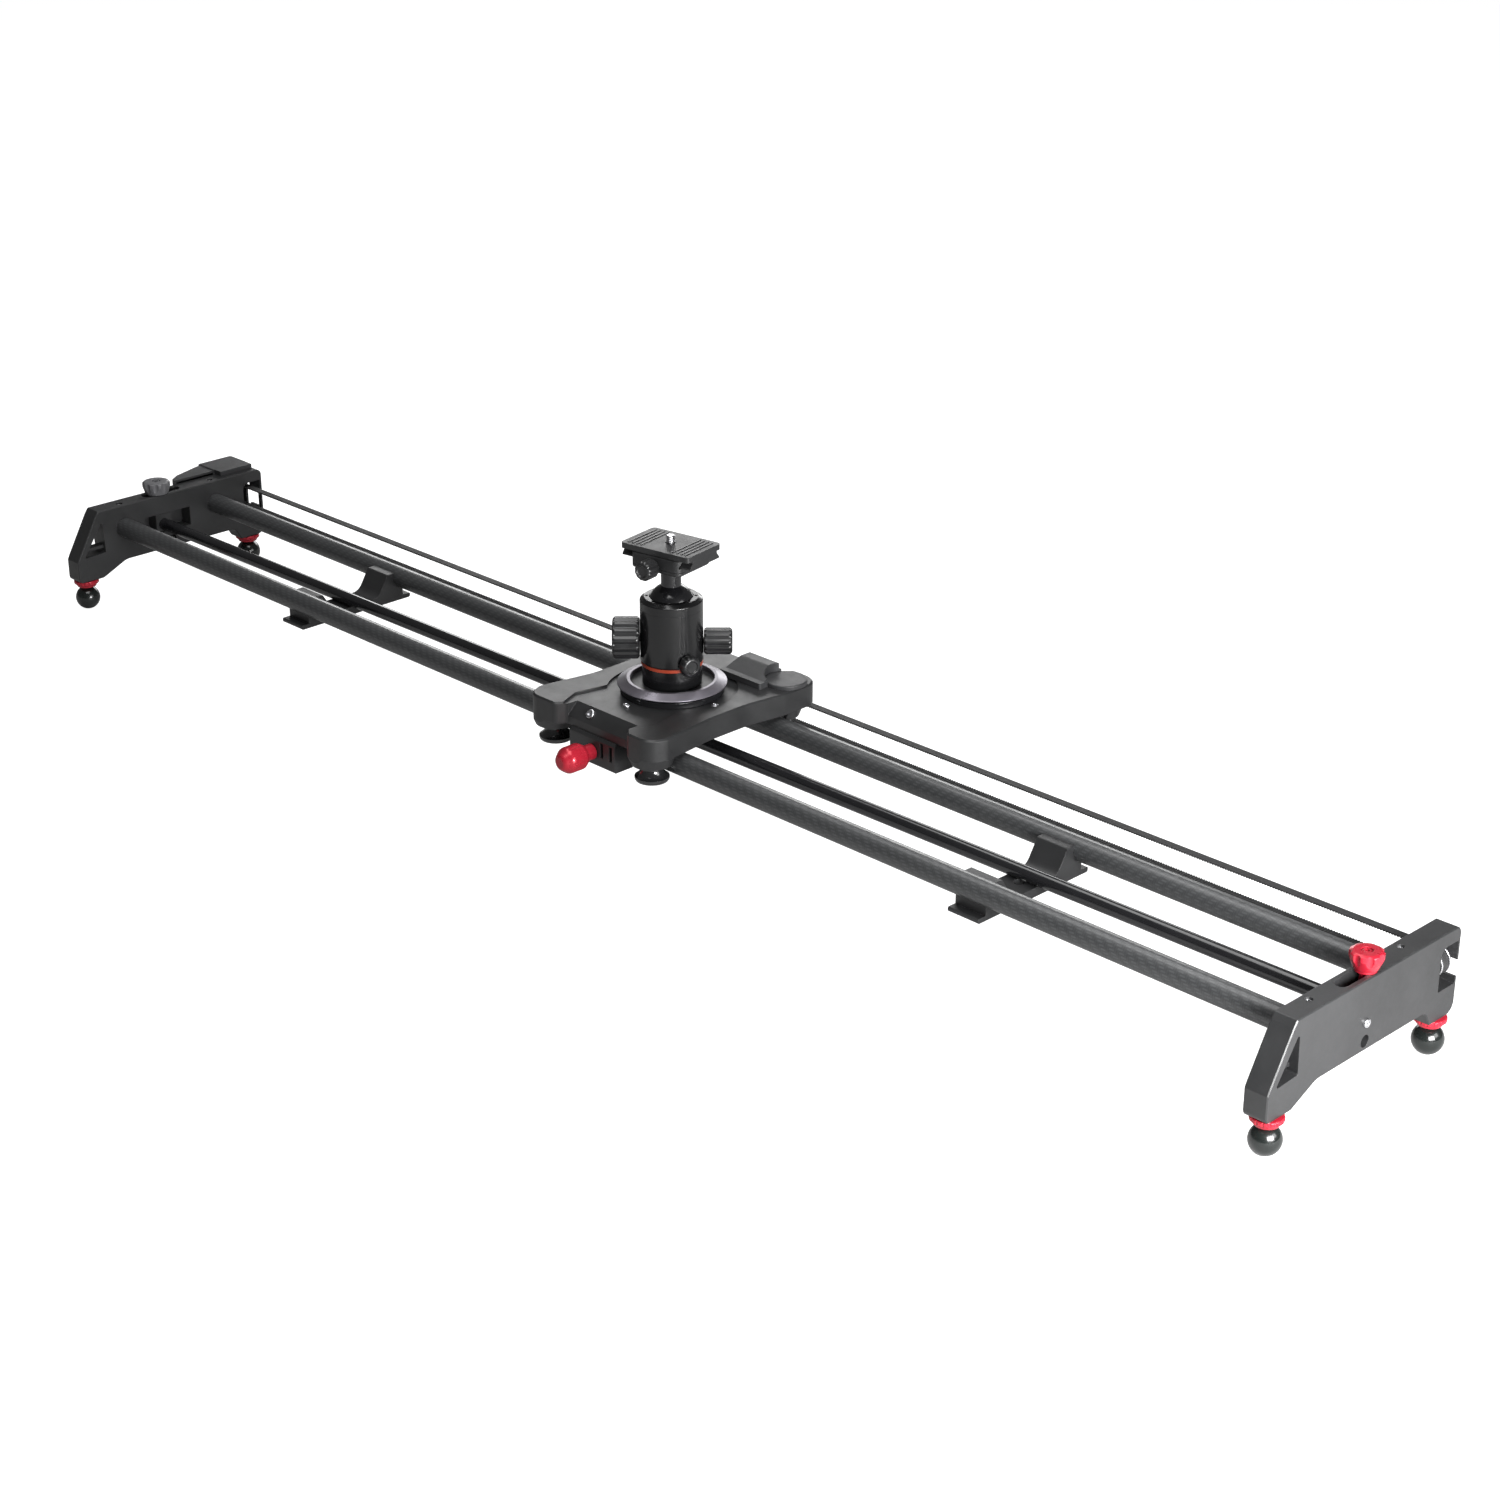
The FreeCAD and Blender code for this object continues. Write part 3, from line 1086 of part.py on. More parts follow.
def quick_plate():
    """Dovetail plate that stays on the camera."""
    low = GROOVE_Z + AIR
    waist = GROOVE_HALF - AIR
    foot_y = GROOVE_HALF + GROOVE_UNDERCUT - 2 * AIR
    half = [(foot_y, low, 0), (foot_y, low + 1.0, 0), (waist, CLAMP_Z[1] - 0.8, 0),
            (waist, CLAMP_Z[1] + 0.5, 0)]
    profile = half + [(-y, z, radius) for y, z, radius in reversed(half)]
    tail = prism_x(profile, -PLATE_HALF_LENGTH, PLATE_HALF_LENGTH)
    half_y = CLAMP_HALF_Y
    top = prism_z([(-PLATE_HALF_LENGTH, -half_y, 3.0), (PLATE_HALF_LENGTH, -half_y, 3.0),
                   (PLATE_HALF_LENGTH, half_y, 3.0), (-PLATE_HALF_LENGTH, half_y, 3.0)],
                  CLAMP_Z[1] + 0.5, QUICK_PLATE_TOP_Z)
    body = joined([tail, top])
    ribs = []
    for x in (-24.0, -20.5, -17.0, -13.5, 13.5, 17.0, 20.5, 24.0):
        ribs.append(box((x - 0.6, x + 0.6), (-16.0, 16.0), (QUICK_PLATE_TOP_Z - 0.7, QUICK_PLATE_TOP_Z + 1)))
    ribs.append(rod(CAMERA_SHANK_R + RUNNING_FIT, V(0, 0, low - 1), V(0, 0, QUICK_PLATE_TOP_Z + 1)))
    ribs.append(rod(8.5, V(0, 0, low - 1), V(0, 0, low + 4.2)))
    mouth = V(0, 0, QUICK_PLATE_TOP_Z - 0.6)
    ribs.append(rod(CAMERA_SCREW_R + 0.5, mouth, V(0, 0, QUICK_PLATE_TOP_Z + 1)))
    return on_clamp(body.cut(ribs))


def camera_screw():
    """1/4 inch camera screw with a slotted head in the plate's underside."""
    low = GROOVE_Z + AIR
    head = rod(8.0, V(0, 0, low + 0.4), V(0, 0, low + 3.9))
    shank = rod(CAMERA_SHANK_R, V(0, 0, low + 0.4), V(0, 0, CAMERA_THREAD_Z))
    thread = rod(CAMERA_SCREW_R, V(0, 0, CAMERA_THREAD_Z), V(0, 0, CAMERA_SCREW_TOP_Z))
    slot = box((-9, 9), (-0.9, 0.9), (low, low + 1.8))
    return on_clamp(joined([head, shank, thread]).cut(slot))


# ---------------------------------------------------------------- the whole slider
def build():
    nodes = {
        "left_end_plate": left_end_plate(),
        "right_end_plate": right_end_plate(),
        "front_rail_tube": rail_tube(-1),
        "rear_rail_tube": rail_tube(1),
        "rail_end_plugs": rail_end_plugs(),
        "rail_set_screws": rail_set_screws(),
        "left_cross_brace": cross_brace(-BRACE_X),
        "right_cross_brace": cross_brace(BRACE_X),
        "cap_screws": cap_screws(),
        "foot_lock_rings": foot_lock_rings(),
        "timing_belt": timing_belt(),
        "idler_axle": idler_axle(),
        "idler_pulley": idler_pulley(),
        "drive_pulley": drive_pulley(),
        "gear_motor": gear_motor(),
        "drive_housing": drive_housing(),
        "electronics_cover": electronics_cover(),
        "control_board": control_board(),
        "sockets": sockets(),
        "power_button": power_button(),
        "guide_rod": guide_rod(),
        "guide_rod_end_blocks": guide_rod_end_blocks(),
        "angle_knob": angle_knob(),
        "left_lock_knob": left_lock_knob(),
        "carriage_deck": carriage_deck(),
        "deck_screws": deck_screws(),
        "roller_axles": roller_axles(),
        "roller_bearings": roller_bearings(),
        "brake_block": brake_block(),
        "brake_knob": brake_knob(),
        "brake_plunger": brake_plunger(),
        "belt_clamp": belt_clamp(),
        "belt_clamp_cover": belt_clamp_cover(),
        "round_cap": round_cap(),
        "turntable_bearing": turntable_bearing(),
        "turntable_rim": turntable_rim(),
        "turntable_disc": turntable_disc(),
        "pan_spindle": pan_spindle(),
        "pan_fork": pan_fork(),
        "head_base": head_base(),
        "pan_scale_ring": pan_scale_ring(),
        "head_housing": head_housing(),
        "head_collar": head_collar(),
        "ball_stem": ball_stem(),
        "main_knob": main_knob(),
        "friction_knob": friction_knob(),
        "pan_knob": pan_knob(),
        "clamp_base": clamp_base(),
        "clamp_jaw": clamp_jaw(),
        "clamp_knob": clamp_knob(),
        "quick_plate": quick_plate(),
        "camera_screw": camera_screw(),
    }
    for row, side in (("front", -1), ("rear", 1)):
        for column, end in (("left", -1), ("right", 1)):
            nodes[column + "_" + row + "_foot"] = foot(end, side)
    for name, x, y in roller_places():
        nodes[name + "_roller"] = roller(x, y)
    return nodes


def main():
    os.makedirs("parts", exist_ok=True)
    for name, shape in build().items():
        shape.exportStep("parts/" + name + ".step")


main()
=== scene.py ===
"""Camera slider: finishes, fine pieces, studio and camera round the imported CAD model."""
import json
import math

import bmesh
import bpy
from mathutils import Matrix, Vector


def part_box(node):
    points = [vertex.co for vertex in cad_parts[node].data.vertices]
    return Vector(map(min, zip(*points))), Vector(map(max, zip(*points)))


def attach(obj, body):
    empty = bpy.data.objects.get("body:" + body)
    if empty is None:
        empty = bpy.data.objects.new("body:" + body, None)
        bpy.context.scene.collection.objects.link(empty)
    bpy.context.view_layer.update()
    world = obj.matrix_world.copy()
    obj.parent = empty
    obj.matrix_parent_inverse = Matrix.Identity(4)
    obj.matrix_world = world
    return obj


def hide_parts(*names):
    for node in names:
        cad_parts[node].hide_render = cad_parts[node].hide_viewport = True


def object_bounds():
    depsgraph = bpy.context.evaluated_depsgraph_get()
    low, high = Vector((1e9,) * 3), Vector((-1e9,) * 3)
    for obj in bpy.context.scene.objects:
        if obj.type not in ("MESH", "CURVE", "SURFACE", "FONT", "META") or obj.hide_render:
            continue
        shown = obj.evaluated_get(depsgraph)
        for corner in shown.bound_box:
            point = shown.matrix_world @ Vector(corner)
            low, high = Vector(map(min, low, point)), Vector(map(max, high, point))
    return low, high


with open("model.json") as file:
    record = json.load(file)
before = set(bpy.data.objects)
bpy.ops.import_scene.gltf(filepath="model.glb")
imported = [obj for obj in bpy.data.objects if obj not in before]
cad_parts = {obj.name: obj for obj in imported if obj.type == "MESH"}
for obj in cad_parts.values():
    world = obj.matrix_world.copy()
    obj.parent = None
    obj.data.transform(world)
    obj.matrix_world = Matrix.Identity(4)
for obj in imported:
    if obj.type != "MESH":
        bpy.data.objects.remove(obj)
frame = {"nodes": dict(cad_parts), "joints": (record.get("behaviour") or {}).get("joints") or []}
cad_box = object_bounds()

MM = 0.001
Z_AXIS = Vector((0, 0, 1))

# Finishes
EDGE_WEAR_R = 0.35 * MM
SOFT_EDGE_R = 0.3 * MM
TOW_WIDTH = 1.9 * MM

# Mesh pieces, in mm
SHARP_ANGLE = math.radians(38)
CAMERA_SCREW_R = 3.175
CAMERA_SCREW_PITCH = 1.27
CAMERA_SCREW_NECK_R = 2.6
CAMERA_SCREW_HEAD_R = 8.0
CAMERA_SCREW_HEAD_TALL = 3.5
CAMERA_THREAD_LONG = 4.9
FOOT_BALL_R = 10.0
FOOT_BALL_Z = 9.6
FOOT_STUD_R = 3.0
FOOT_STUD_Z = 17.0
FOOT_STUD_PITCH = 1.0
BELT_PITCH = 2.0
BELT_CREST = 1.3
BELT_ROOT = 0.85
BELT_TOOTH_PARTS = (0.0, 0.14, 0.46, 0.6)
PAD_SECTION = ((-0.55, -0.7), (-0.55, 0.15), (-0.3, 0.35), (0.3, 0.35), (0.55, 0.15), (0.55, -0.7))
PAD_PLACES = (-24.0, -20.5, -17.0, -13.5, 13.5, 17.0, 20.5, 24.0)
PAD_HALF_LENGTH = 15.8

# Grips of the ball head's knobs: radius, start and end along the axis, stem, ribs and their depth, in mm
KNOBS = {
    "main_knob": {"radius": 14.8, "near": 22.2, "far": 41.0, "stem_r": 3.0, "stem_in": 12.0, "count": 14,
                  "depth": 1.5},
    "friction_knob": {"radius": 9.4, "near": 22.2, "far": 42.0, "stem_r": 2.0, "stem_in": 12.0, "count": 12,
                      "depth": 1.0},
    "pan_knob": {"radius": 7.4, "near": 22.2, "far": 29.5, "stem_r": 2.0, "stem_in": 10.0, "count": 12,
                 "depth": 0.8},
    "clamp_knob": {"radius": 7.0, "near": 21.0, "far": 33.0, "stem_r": 1.9, "stem_in": -11.0, "count": 12,
                   "depth": 0.8},
}

# Studio
FLOOR_HALF_SIZE = 12.0
FLOOR_GAP = 0.2 * MM
FLOOR_GLOW = 0.92
ROOM_ON_OBJECT = 0.12
CAMERA_PLACE = (1.3741, -1.2437, 0.8491)
CAMERA_LOOK = (-0.65328, 0.64085, -0.40316)
CAMERA_LENS_MM = 68.24
SENSOR_MM = 36.0


# ---------------------------------------------------------------- node helpers
class Finish:
    """A node material with a Principled shader, and short calls that add the nodes feeding it."""

    def __init__(self, name, **constants):
        self.material = bpy.data.materials.new(name)
        self.material.use_nodes = True
        self.tree = self.material.node_tree
        self.shader = self.tree.nodes["Principled BSDF"]
        for socket, value in constants.items():
            self.shader.inputs[socket.replace("_", " ")].default_value = value
        self.place = self.add("ShaderNodeTexCoord").outputs["Object"]

    def add(self, kind, inputs=None, **settings):
        """New node; each input is a value or the output socket that feeds it."""
        node = self.tree.nodes.new(kind)
        for key, value in settings.items():
            setattr(node, key, value)
        for key, value in (inputs or {}).items():
            if isinstance(value, bpy.types.NodeSocket):
                self.tree.links.new(value, node.inputs[key])
            else:
                node.inputs[key].default_value = value
        return node

    def math(self, operation, first, second=0.0, third=0.0):
        return self.add("ShaderNodeMath", {0: first, 1: second, 2: third}, operation=operation).outputs[0]

    def noise(self, scale, detail=3.0, rough=0.5, place=None):
        source = self.place if place is None else place
        inputs = {"Vector": source, "Scale": scale, "Detail": detail, "Roughness": rough}
        return self.add("ShaderNodeTexNoise", inputs).outputs["Fac"]

    def stretched(self, x, y, z):
        """The object's coordinates scaled along each axis, for drawn or turned grain."""
        return self.add("ShaderNodeMapping", {"Vector": self.place, "Scale": (x, y, z)}).outputs[0]

    def between(self, value, low, high, out_low=0.0, out_high=1.0):
        inputs = {"Value": value, "From Min": low, "From Max": high, "To Min": out_low, "To Max": out_high}
        return self.add("ShaderNodeMapRange", inputs).outputs[0]

    def mixed(self, factor, first, second):
        mix = self.add("ShaderNodeMix", {"Factor": factor}, data_type="RGBA")
        for socket, value in ((mix.inputs[6], first), (mix.inputs[7], second)):
            if isinstance(value, bpy.types.NodeSocket):
                self.tree.links.new(value, socket)
            else:
                socket.default_value = value
        return mix.outputs[2]

    def edges(self, radius):
        """How far each point lies on a worn edge, and the rounded normal there."""
        bevel = self.add("ShaderNodeBevel", {"Radius": radius}, samples=4).outputs[0]
        true_normal = self.add("ShaderNodeNewGeometry").outputs["Normal"]
        dot = self.add("ShaderNodeVectorMath", {0: bevel, 1: true_normal}, operation="DOT_PRODUCT")
        return self.between(dot.outputs["Value"], 0.995, 0.8), bevel

    def bumped(self, height, strength, distance, normal=None):
        inputs = {"Height": height, "Strength": strength, "Distance": distance}
        if normal is not None:
            inputs["Normal"] = normal
        return self.add("ShaderNodeBump", inputs).outputs[0]

    def feed(self, **sockets):
        for socket, value in sockets.items():
            self.tree.links.new(value, self.shader.inputs[socket.replace("_", " ")])
        return self.material


def tone(colour, factor=1.0):
    """RGBA of a linear colour made lighter or darker."""
    return tuple(min(1.0, channel * factor) for channel in colour) + (1.0,)


# ---------------------------------------------------------------- finishes
def worn_metal(name, colour, roughness, metallic=0.0, specular=0.5, grain=2600.0, depth=0.1, wear=2.2,
               coat=0.0):
    """Anodised, oxidised or moulded skin: mottled tone, fine grain, handled patches and lighter edges."""
    finish = Finish(name, Metallic=metallic, Specular_IOR_Level=specular, Coat_Weight=coat, Coat_Roughness=0.12)
    worn, rounded = finish.edges(EDGE_WEAR_R)
    scuffs = finish.between(finish.noise(420.0, 5.0, 0.7), 0.35, 0.75)
    mottle = finish.between(finish.noise(26.0, 4.0), 0.35, 0.68)
    skin = finish.mixed(mottle, tone(colour, 0.84), tone(colour, 1.16))
    bared = finish.math("MULTIPLY", worn, finish.math("MULTIPLY_ADD", scuffs, 0.5, 0.3))
    colour_out = finish.mixed(bared, skin, tone(colour, wear))
    handled = finish.between(finish.noise(60.0, 5.0, 0.65), 0.3, 0.72, roughness - 0.06, roughness + 0.07)
    rough = finish.math("MULTIPLY_ADD", scuffs, 0.04, handled)
    blast = finish.noise(grain, 2.0, 0.6)
    normal = finish.bumped(blast, depth, 0.04 * MM, rounded)
    return finish.feed(Base_Color=colour_out, Roughness=rough, Normal=normal)


def turned_metal(name, colour, roughness):
    """Bare metal with fine tool marks round its upright axis."""
    finish = Finish(name, Metallic=1.0)
    worn, rounded = finish.edges(SOFT_EDGE_R)
    marks = finish.noise(1.0, 2.0, 0.5, finish.stretched(300.0, 300.0, 9000.0))
    stain = finish.between(finish.noise(90.0, 4.0), 0.35, 0.7)
    skin = finish.mixed(stain, tone(colour, 0.86), tone(colour, 1.06))
    colour_out = finish.mixed(worn, skin, tone(colour, 1.25))
    rough = finish.between(marks, 0.3, 0.7, roughness - 0.07, roughness + 0.08)
    normal = finish.bumped(marks, 0.12, 0.03 * MM, rounded)
    return finish.feed(Base_Color=colour_out, Roughness=rough, Normal=normal)


def carbon_weave(name, axis_y, axis_z, radius):
    """Lacquered twill on the two tubes: each tow goes over two others and under two. Lengthwise tows and the
    crown of every tow are painted lighter, a painted sheen in place of the light that the fibres reflect.
    """
    finish = Finish(name, Specular_IOR_Level=0.5, Coat_Weight=0.35, Coat_Roughness=0.22)
    split = finish.add("ShaderNodeSeparateXYZ", {"Vector": finish.place})
    out = finish.math("SUBTRACT", finish.math("ABSOLUTE", split.outputs["Y"]), axis_y)
    up = finish.math("SUBTRACT", split.outputs["Z"], axis_z)
    around = finish.math("MULTIPLY", finish.math("ARCTAN2", up, out), radius / TOW_WIDTH)
    along = finish.math("MULTIPLY", split.outputs["X"], 1.0 / TOW_WIDTH)
    step = finish.math("ADD", finish.math("FLOOR", along), finish.math("FLOOR", around))
    turn = finish.math("FLOORED_MODULO", step, 4.0)
    lengthwise = finish.math("LESS_THAN", turn, 1.5)
    crown_long = finish.math("SINE", finish.math("MULTIPLY", finish.math("FRACT", around), math.pi))
    crown_hoop = finish.math("SINE", finish.math("MULTIPLY", finish.math("FRACT", along), math.pi))
    crown = finish.add("ShaderNodeMix", {"Factor": lengthwise, "A": crown_hoop, "B": crown_long}).outputs[0]
    long_fibres = finish.noise(1.0, 2.0, 0.6, finish.stretched(260.0, 6500.0, 6500.0))
    hoop_fibres = finish.noise(1.0, 2.0, 0.6, finish.stretched(6500.0, 700.0, 700.0))
    fibres = finish.add("ShaderNodeMix", {"Factor": lengthwise, "A": hoop_fibres, "B": long_fibres}).outputs[0]
    dark = tone((0.022, 0.023, 0.024))
    light = tone((0.062, 0.064, 0.066))
    # Painted sheen: lengthwise tows are painted lighter than hoop tows, and every tow is painted lighter on its
    # crown; the fibre streaks are grain.
    painted_tow_sheen = finish.math("MULTIPLY", finish.between(fibres, 0.3, 0.7, 0.45, 1.0),
                        finish.math("MULTIPLY_ADD", lengthwise, 0.45, 0.4))
    colour = finish.mixed(finish.math("MULTIPLY", painted_tow_sheen, crown), dark, light)
    smear = finish.between(finish.noise(38.0, 4.0), 0.3, 0.7, 0.36, 0.5)
    rough = finish.math("MULTIPLY_ADD", fibres, 0.08, smear)
    height = finish.math("MULTIPLY_ADD", fibres, 0.25, crown)
    return finish.feed(Base_Color=colour, Roughness=rough, Normal=finish.bumped(height, 0.35, 0.09 * MM))


def moulded_rubber(name, colour, roughness, grain, depth, coat=0.0):
    """Rubber or soft plastic: pebbled skin, dusty patches and slightly polished edges."""
    finish = Finish(name, Specular_IOR_Level=0.5, Coat_Weight=coat, Coat_Roughness=0.15)
    worn, rounded = finish.edges(SOFT_EDGE_R)
    cells = finish.add("ShaderNodeTexVoronoi", {"Vector": finish.place, "Scale": grain}).outputs["Distance"]
    dusty = finish.between(finish.noise(70.0, 5.0, 0.65), 0.45, 0.75)
    skin = finish.mixed(dusty, tone(colour), tone(colour, 1.6))
    colour_out = finish.mixed(finish.math("MULTIPLY", worn, 0.5), skin, tone(colour, 2.08))
    rough = finish.math("MULTIPLY_ADD", dusty, 0.12, roughness)
    rough_out = finish.math("MULTIPLY_ADD", worn, -0.08, rough)
    normal = finish.bumped(cells, depth, 0.05 * MM, rounded)
    return finish.feed(Base_Color=colour_out, Roughness=rough_out, Normal=normal)


def printed_circuit(name):
    """Green solder mask over copper tracks, with black parts on it."""
    finish = Finish(name, Specular_IOR_Level=0.5, Coat_Weight=0.4, Coat_Roughness=0.2)
    black, white = (0, 0, 0, 1), (1, 1, 1, 1)
    layout = {"Vector": finish.stretched(1.0, 620.0, 620.0), "Scale": 1.0, "Mortar Size": 0.08, "Color1": black,
              "Color2": black, "Mortar": white}
    tracks = finish.add("ShaderNodeTexBrick", layout).outputs["Color"]
    specks = finish.between(finish.noise(900.0, 2.0), 0.6, 0.66)
    mask = finish.mixed(tracks, tone((0.01, 0.11, 0.045)), tone((0.02, 0.2, 0.08)))
    colour = finish.mixed(specks, mask, tone((0.6, 0.58, 0.5)))
    rough = finish.between(finish.noise(120.0), 0.3, 0.7, 0.32, 0.5)
    return finish.feed(Base_Color=colour, Roughness=rough, Normal=finish.bumped(tracks, 0.3, 0.06 * MM))


def rail_place():
    """(y, z, radius) of a rail's axis; the other rail is its mirror image in y."""
    low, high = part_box("rear_rail_tube")
    return (low.y + high.y) / 2, (low.z + high.z) / 2, (high.y - low.y) / 2


def all_finishes():
    """One material for each of the part's slots, and two more that some nodes have of their own."""
    return {
        "black_anodised": worn_metal("black_anodised_satin", (0.016, 0.0163, 0.017), 0.4),
        "grey_anodised": worn_metal("grey_anodised_satin", (0.1, 0.1, 0.106), 0.4, wear=1.7),
        "red_anodised": worn_metal("red_anodised_satin", (0.36, 0.012, 0.026), 0.26, metallic=0.25, wear=1.35),
        "orange_anodised": worn_metal("orange_anodised_satin", (0.36, 0.05, 0.022), 0.3, metallic=0.3,
                                      wear=1.2),
        "carbon_tube": carbon_weave("carbon_twill", *rail_place()),
        "black_steel": worn_metal("black_polished_steel", (0.008, 0.008, 0.009), 0.16, grain=900.0, depth=0.02,
                                  wear=3.0, coat=0.2),
        "bright_steel": turned_metal("bright_steel_turned", (0.62, 0.62, 0.64), 0.26),
        "silver_aluminium": turned_metal("silver_aluminium_turned", (0.72, 0.72, 0.74), 0.32),
        "black_plastic": worn_metal("black_moulded_plastic", (0.025, 0.0255, 0.027), 0.46, grain=1500.0,
                                    depth=0.25, wear=1.8),
        "roller_plastic": worn_metal("black_acetal_gloss", (0.012, 0.0125, 0.013), 0.14, grain=700.0,
                                     depth=0.03, wear=1.8, coat=0.6),
        "foot_rubber": moulded_rubber("foot_rubber_gloss", (0.006, 0.0075, 0.007), 0.16, 800.0, 0.03, 0.1),
        "belt_rubber": moulded_rubber("belt_rubber_matt", (0.008, 0.008, 0.0085), 0.66, 2600.0, 0.3),
        "knob_rubber": moulded_rubber("knob_rubber_soft", (0.01, 0.0102, 0.0108), 0.3, 2200.0, 0.15, 0.2),
        "circuit_board": printed_circuit("circuit_board_green"),
        "head_enamel": worn_metal("head_black_enamel", (0.0055, 0.0056, 0.006), 0.2, specular=0.45,
                                  grain=1200.0, depth=0.008, wear=2.5, coat=0.2),
        "rim_satin": worn_metal("rim_satin_grey", (0.2, 0.188, 0.215), 0.3, metallic=0.7, depth=0.03, wear=1.4),
        "grey_plastic": worn_metal("grey_moulded_plastic", (0.2, 0.2, 0.21), 0.5, grain=1500.0, depth=0.2,
                                   wear=1.3),
    }


OWN_FINISH = {"head_housing": "head_enamel", "head_collar": "head_enamel", "head_base": "head_enamel",
              "turntable_rim": "rim_satin"}


def dress_nodes(finishes):
    """Gives every CAD node its own finish, or that of the slot that its packed material is named after."""
    for name, node in frame["nodes"].items():
        for material_slot in node.material_slots:
            packed = material_slot.material.name.split(".")[0]
            material_slot.material = finishes[OWN_FINISH.get(name, packed)]


# ---------------------------------------------------------------- pieces in mesh code
def joint(name):
    """Where the named joint lies and turns or slides."""
    return next(entry for entry in frame["joints"] if entry["name"] == name)


def centre_of(node):
    low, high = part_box(node)
    return (low + high) / 2


def new_piece(name, points, faces, body, slot, *nodes):
    """Mesh object made in place, riding on a body and standing for the CAD nodes named."""
    mesh = bpy.data.meshes.new(name)
    shape = bmesh.new()
    corners = [shape.verts.new(point) for point in points]
    for face in faces:
        shape.faces.new([corners[index] for index in face])
    bmesh.ops.recalc_face_normals(shape, faces=shape.faces)
    shape.to_mesh(mesh)
    shape.free()
    mesh.shade_smooth()
    mesh.set_sharp_from_angle(angle=SHARP_ANGLE)
    mesh.materials.append(finishes[slot])
    piece = bpy.data.objects.new(name, mesh)
    bpy.context.scene.collection.objects.link(piece)
    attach(piece, body)
    if nodes:
        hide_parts(*nodes)


def turned(profile, steps, sink=None):
    """Points and faces of a (radius, height) profile in mm revolved about Z, sunk by sink(turn, height)."""
    points = []
    for radius, height in profile:
        for step in range(steps):
            turn = 2 * math.pi * step / steps
            reach = radius - (sink(turn, height) if sink else 0.0)
            points.append(Vector((reach * math.cos(turn), reach * math.sin(turn), height)) * MM)
    faces = [tuple(range(steps)), tuple(range(len(points) - steps, len(points)))]
    for row in range(len(profile) - 1):
        for step in range(steps):
            first = row * steps + step
            second = row * steps + (step + 1) % steps
            faces.append((first, second, second + steps, first + steps))
    return points, faces


def stood(points, origin, direction):
    """Points made about Z, turned to a direction and moved to an origin."""
    place = Matrix.Translation(origin) @ direction.to_track_quat("Z", "Y").to_matrix().to_4x4()
    return [place @ point for point in points]


def ribs(count, depth, low, high):
    """Grooves between the ribs of a grip, fading out at both of its ends."""
    def sink(turn, height):
        fade = max(0.0, min(1.0, (height - low) / 1.2, (high - height) / 1.2))
        return depth * fade * (0.5 + 0.5 * math.cos(count * turn)) ** 1.5
    return sink


def thread(pitch, depth, low, high):
    """Helical groove of a screw, running out at the ends of its length."""
    def sink(turn, height):
        if height < low or height > high:
            return 0.0
        phase = (height / pitch - turn / (2 * math.pi)) % 1.0
        return depth * abs(2 * phase - 1)
    return sink


def steps_between(low, high, step):
    """Even values from low to high, both included, about a step apart."""
    count = max(1, round((high - low) / step))
    return [low + (high - low) * index / count for index in range(count + 1)]


def ribbed_knob(name, radius, near, far, stem_r, stem_in, count, depth):
    """Rubber-ribbed screw knob on its hinge: stem, ribbed grip and a dished end."""
    hinge = joint(name + "_turn")
    axis = Vector(hinge["axis"])
    middle = centre_of("clamp_base" if name == "clamp_knob" else "turntable_rim")
    grip = [(radius, height) for height in steps_between(near + 1.6, far - 2.0, 0.6)]
    profile = [(stem_r, stem_in), (stem_r, near), (radius - 1.8, near), (radius - 0.7, near + 0.5)]
    profile += grip + [(radius - 0.5, far - 1.0), (radius - 1.6, far - 0.15), (radius - 2.4, far)]
    profile += [(radius * 0.62, far), (radius * 0.58, far - 0.3), (radius * 0.54, far - 1.0), (1.0, far - 1.1)]
    points, faces = turned(profile, count * 10, ribs(count, depth, near + 0.6, far - 0.6))
    origin = Vector((middle.x, middle.y, hinge["pos_m"][2]))
    new_piece(name + "_ribbed", stood(points, origin, axis), faces, name, "knob_rubber", name)


def threaded_camera_screw():
    """Tripod screw with a flat head, a plain neck and a quarter-inch thread."""
    low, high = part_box("camera_screw")
    bottom, top = low.z / MM, high.z / MM
    seat = top - CAMERA_THREAD_LONG
    neck = bottom + CAMERA_SCREW_HEAD_TALL
    profile = [(CAMERA_SCREW_HEAD_R - 0.4, bottom), (CAMERA_SCREW_HEAD_R, bottom + 0.4)]
    profile += [(CAMERA_SCREW_HEAD_R, neck), (CAMERA_SCREW_NECK_R, neck), (CAMERA_SCREW_NECK_R, seat)]
    profile += [(CAMERA_SCREW_R, height) for height in steps_between(seat, top - 0.5, 0.15)] + [(2.5, top)]
    points, faces = turned(profile, 48, thread(CAMERA_SCREW_PITCH, 0.6, seat + 0.01, top - 0.4))
    middle = centre_of("camera_screw")
    origin = Vector((middle.x, middle.y, 0))
    new_piece("camera_screw_threaded", stood(points, origin, Z_AXIS), faces, "camera_screw", "bright_steel",
              "camera_screw")


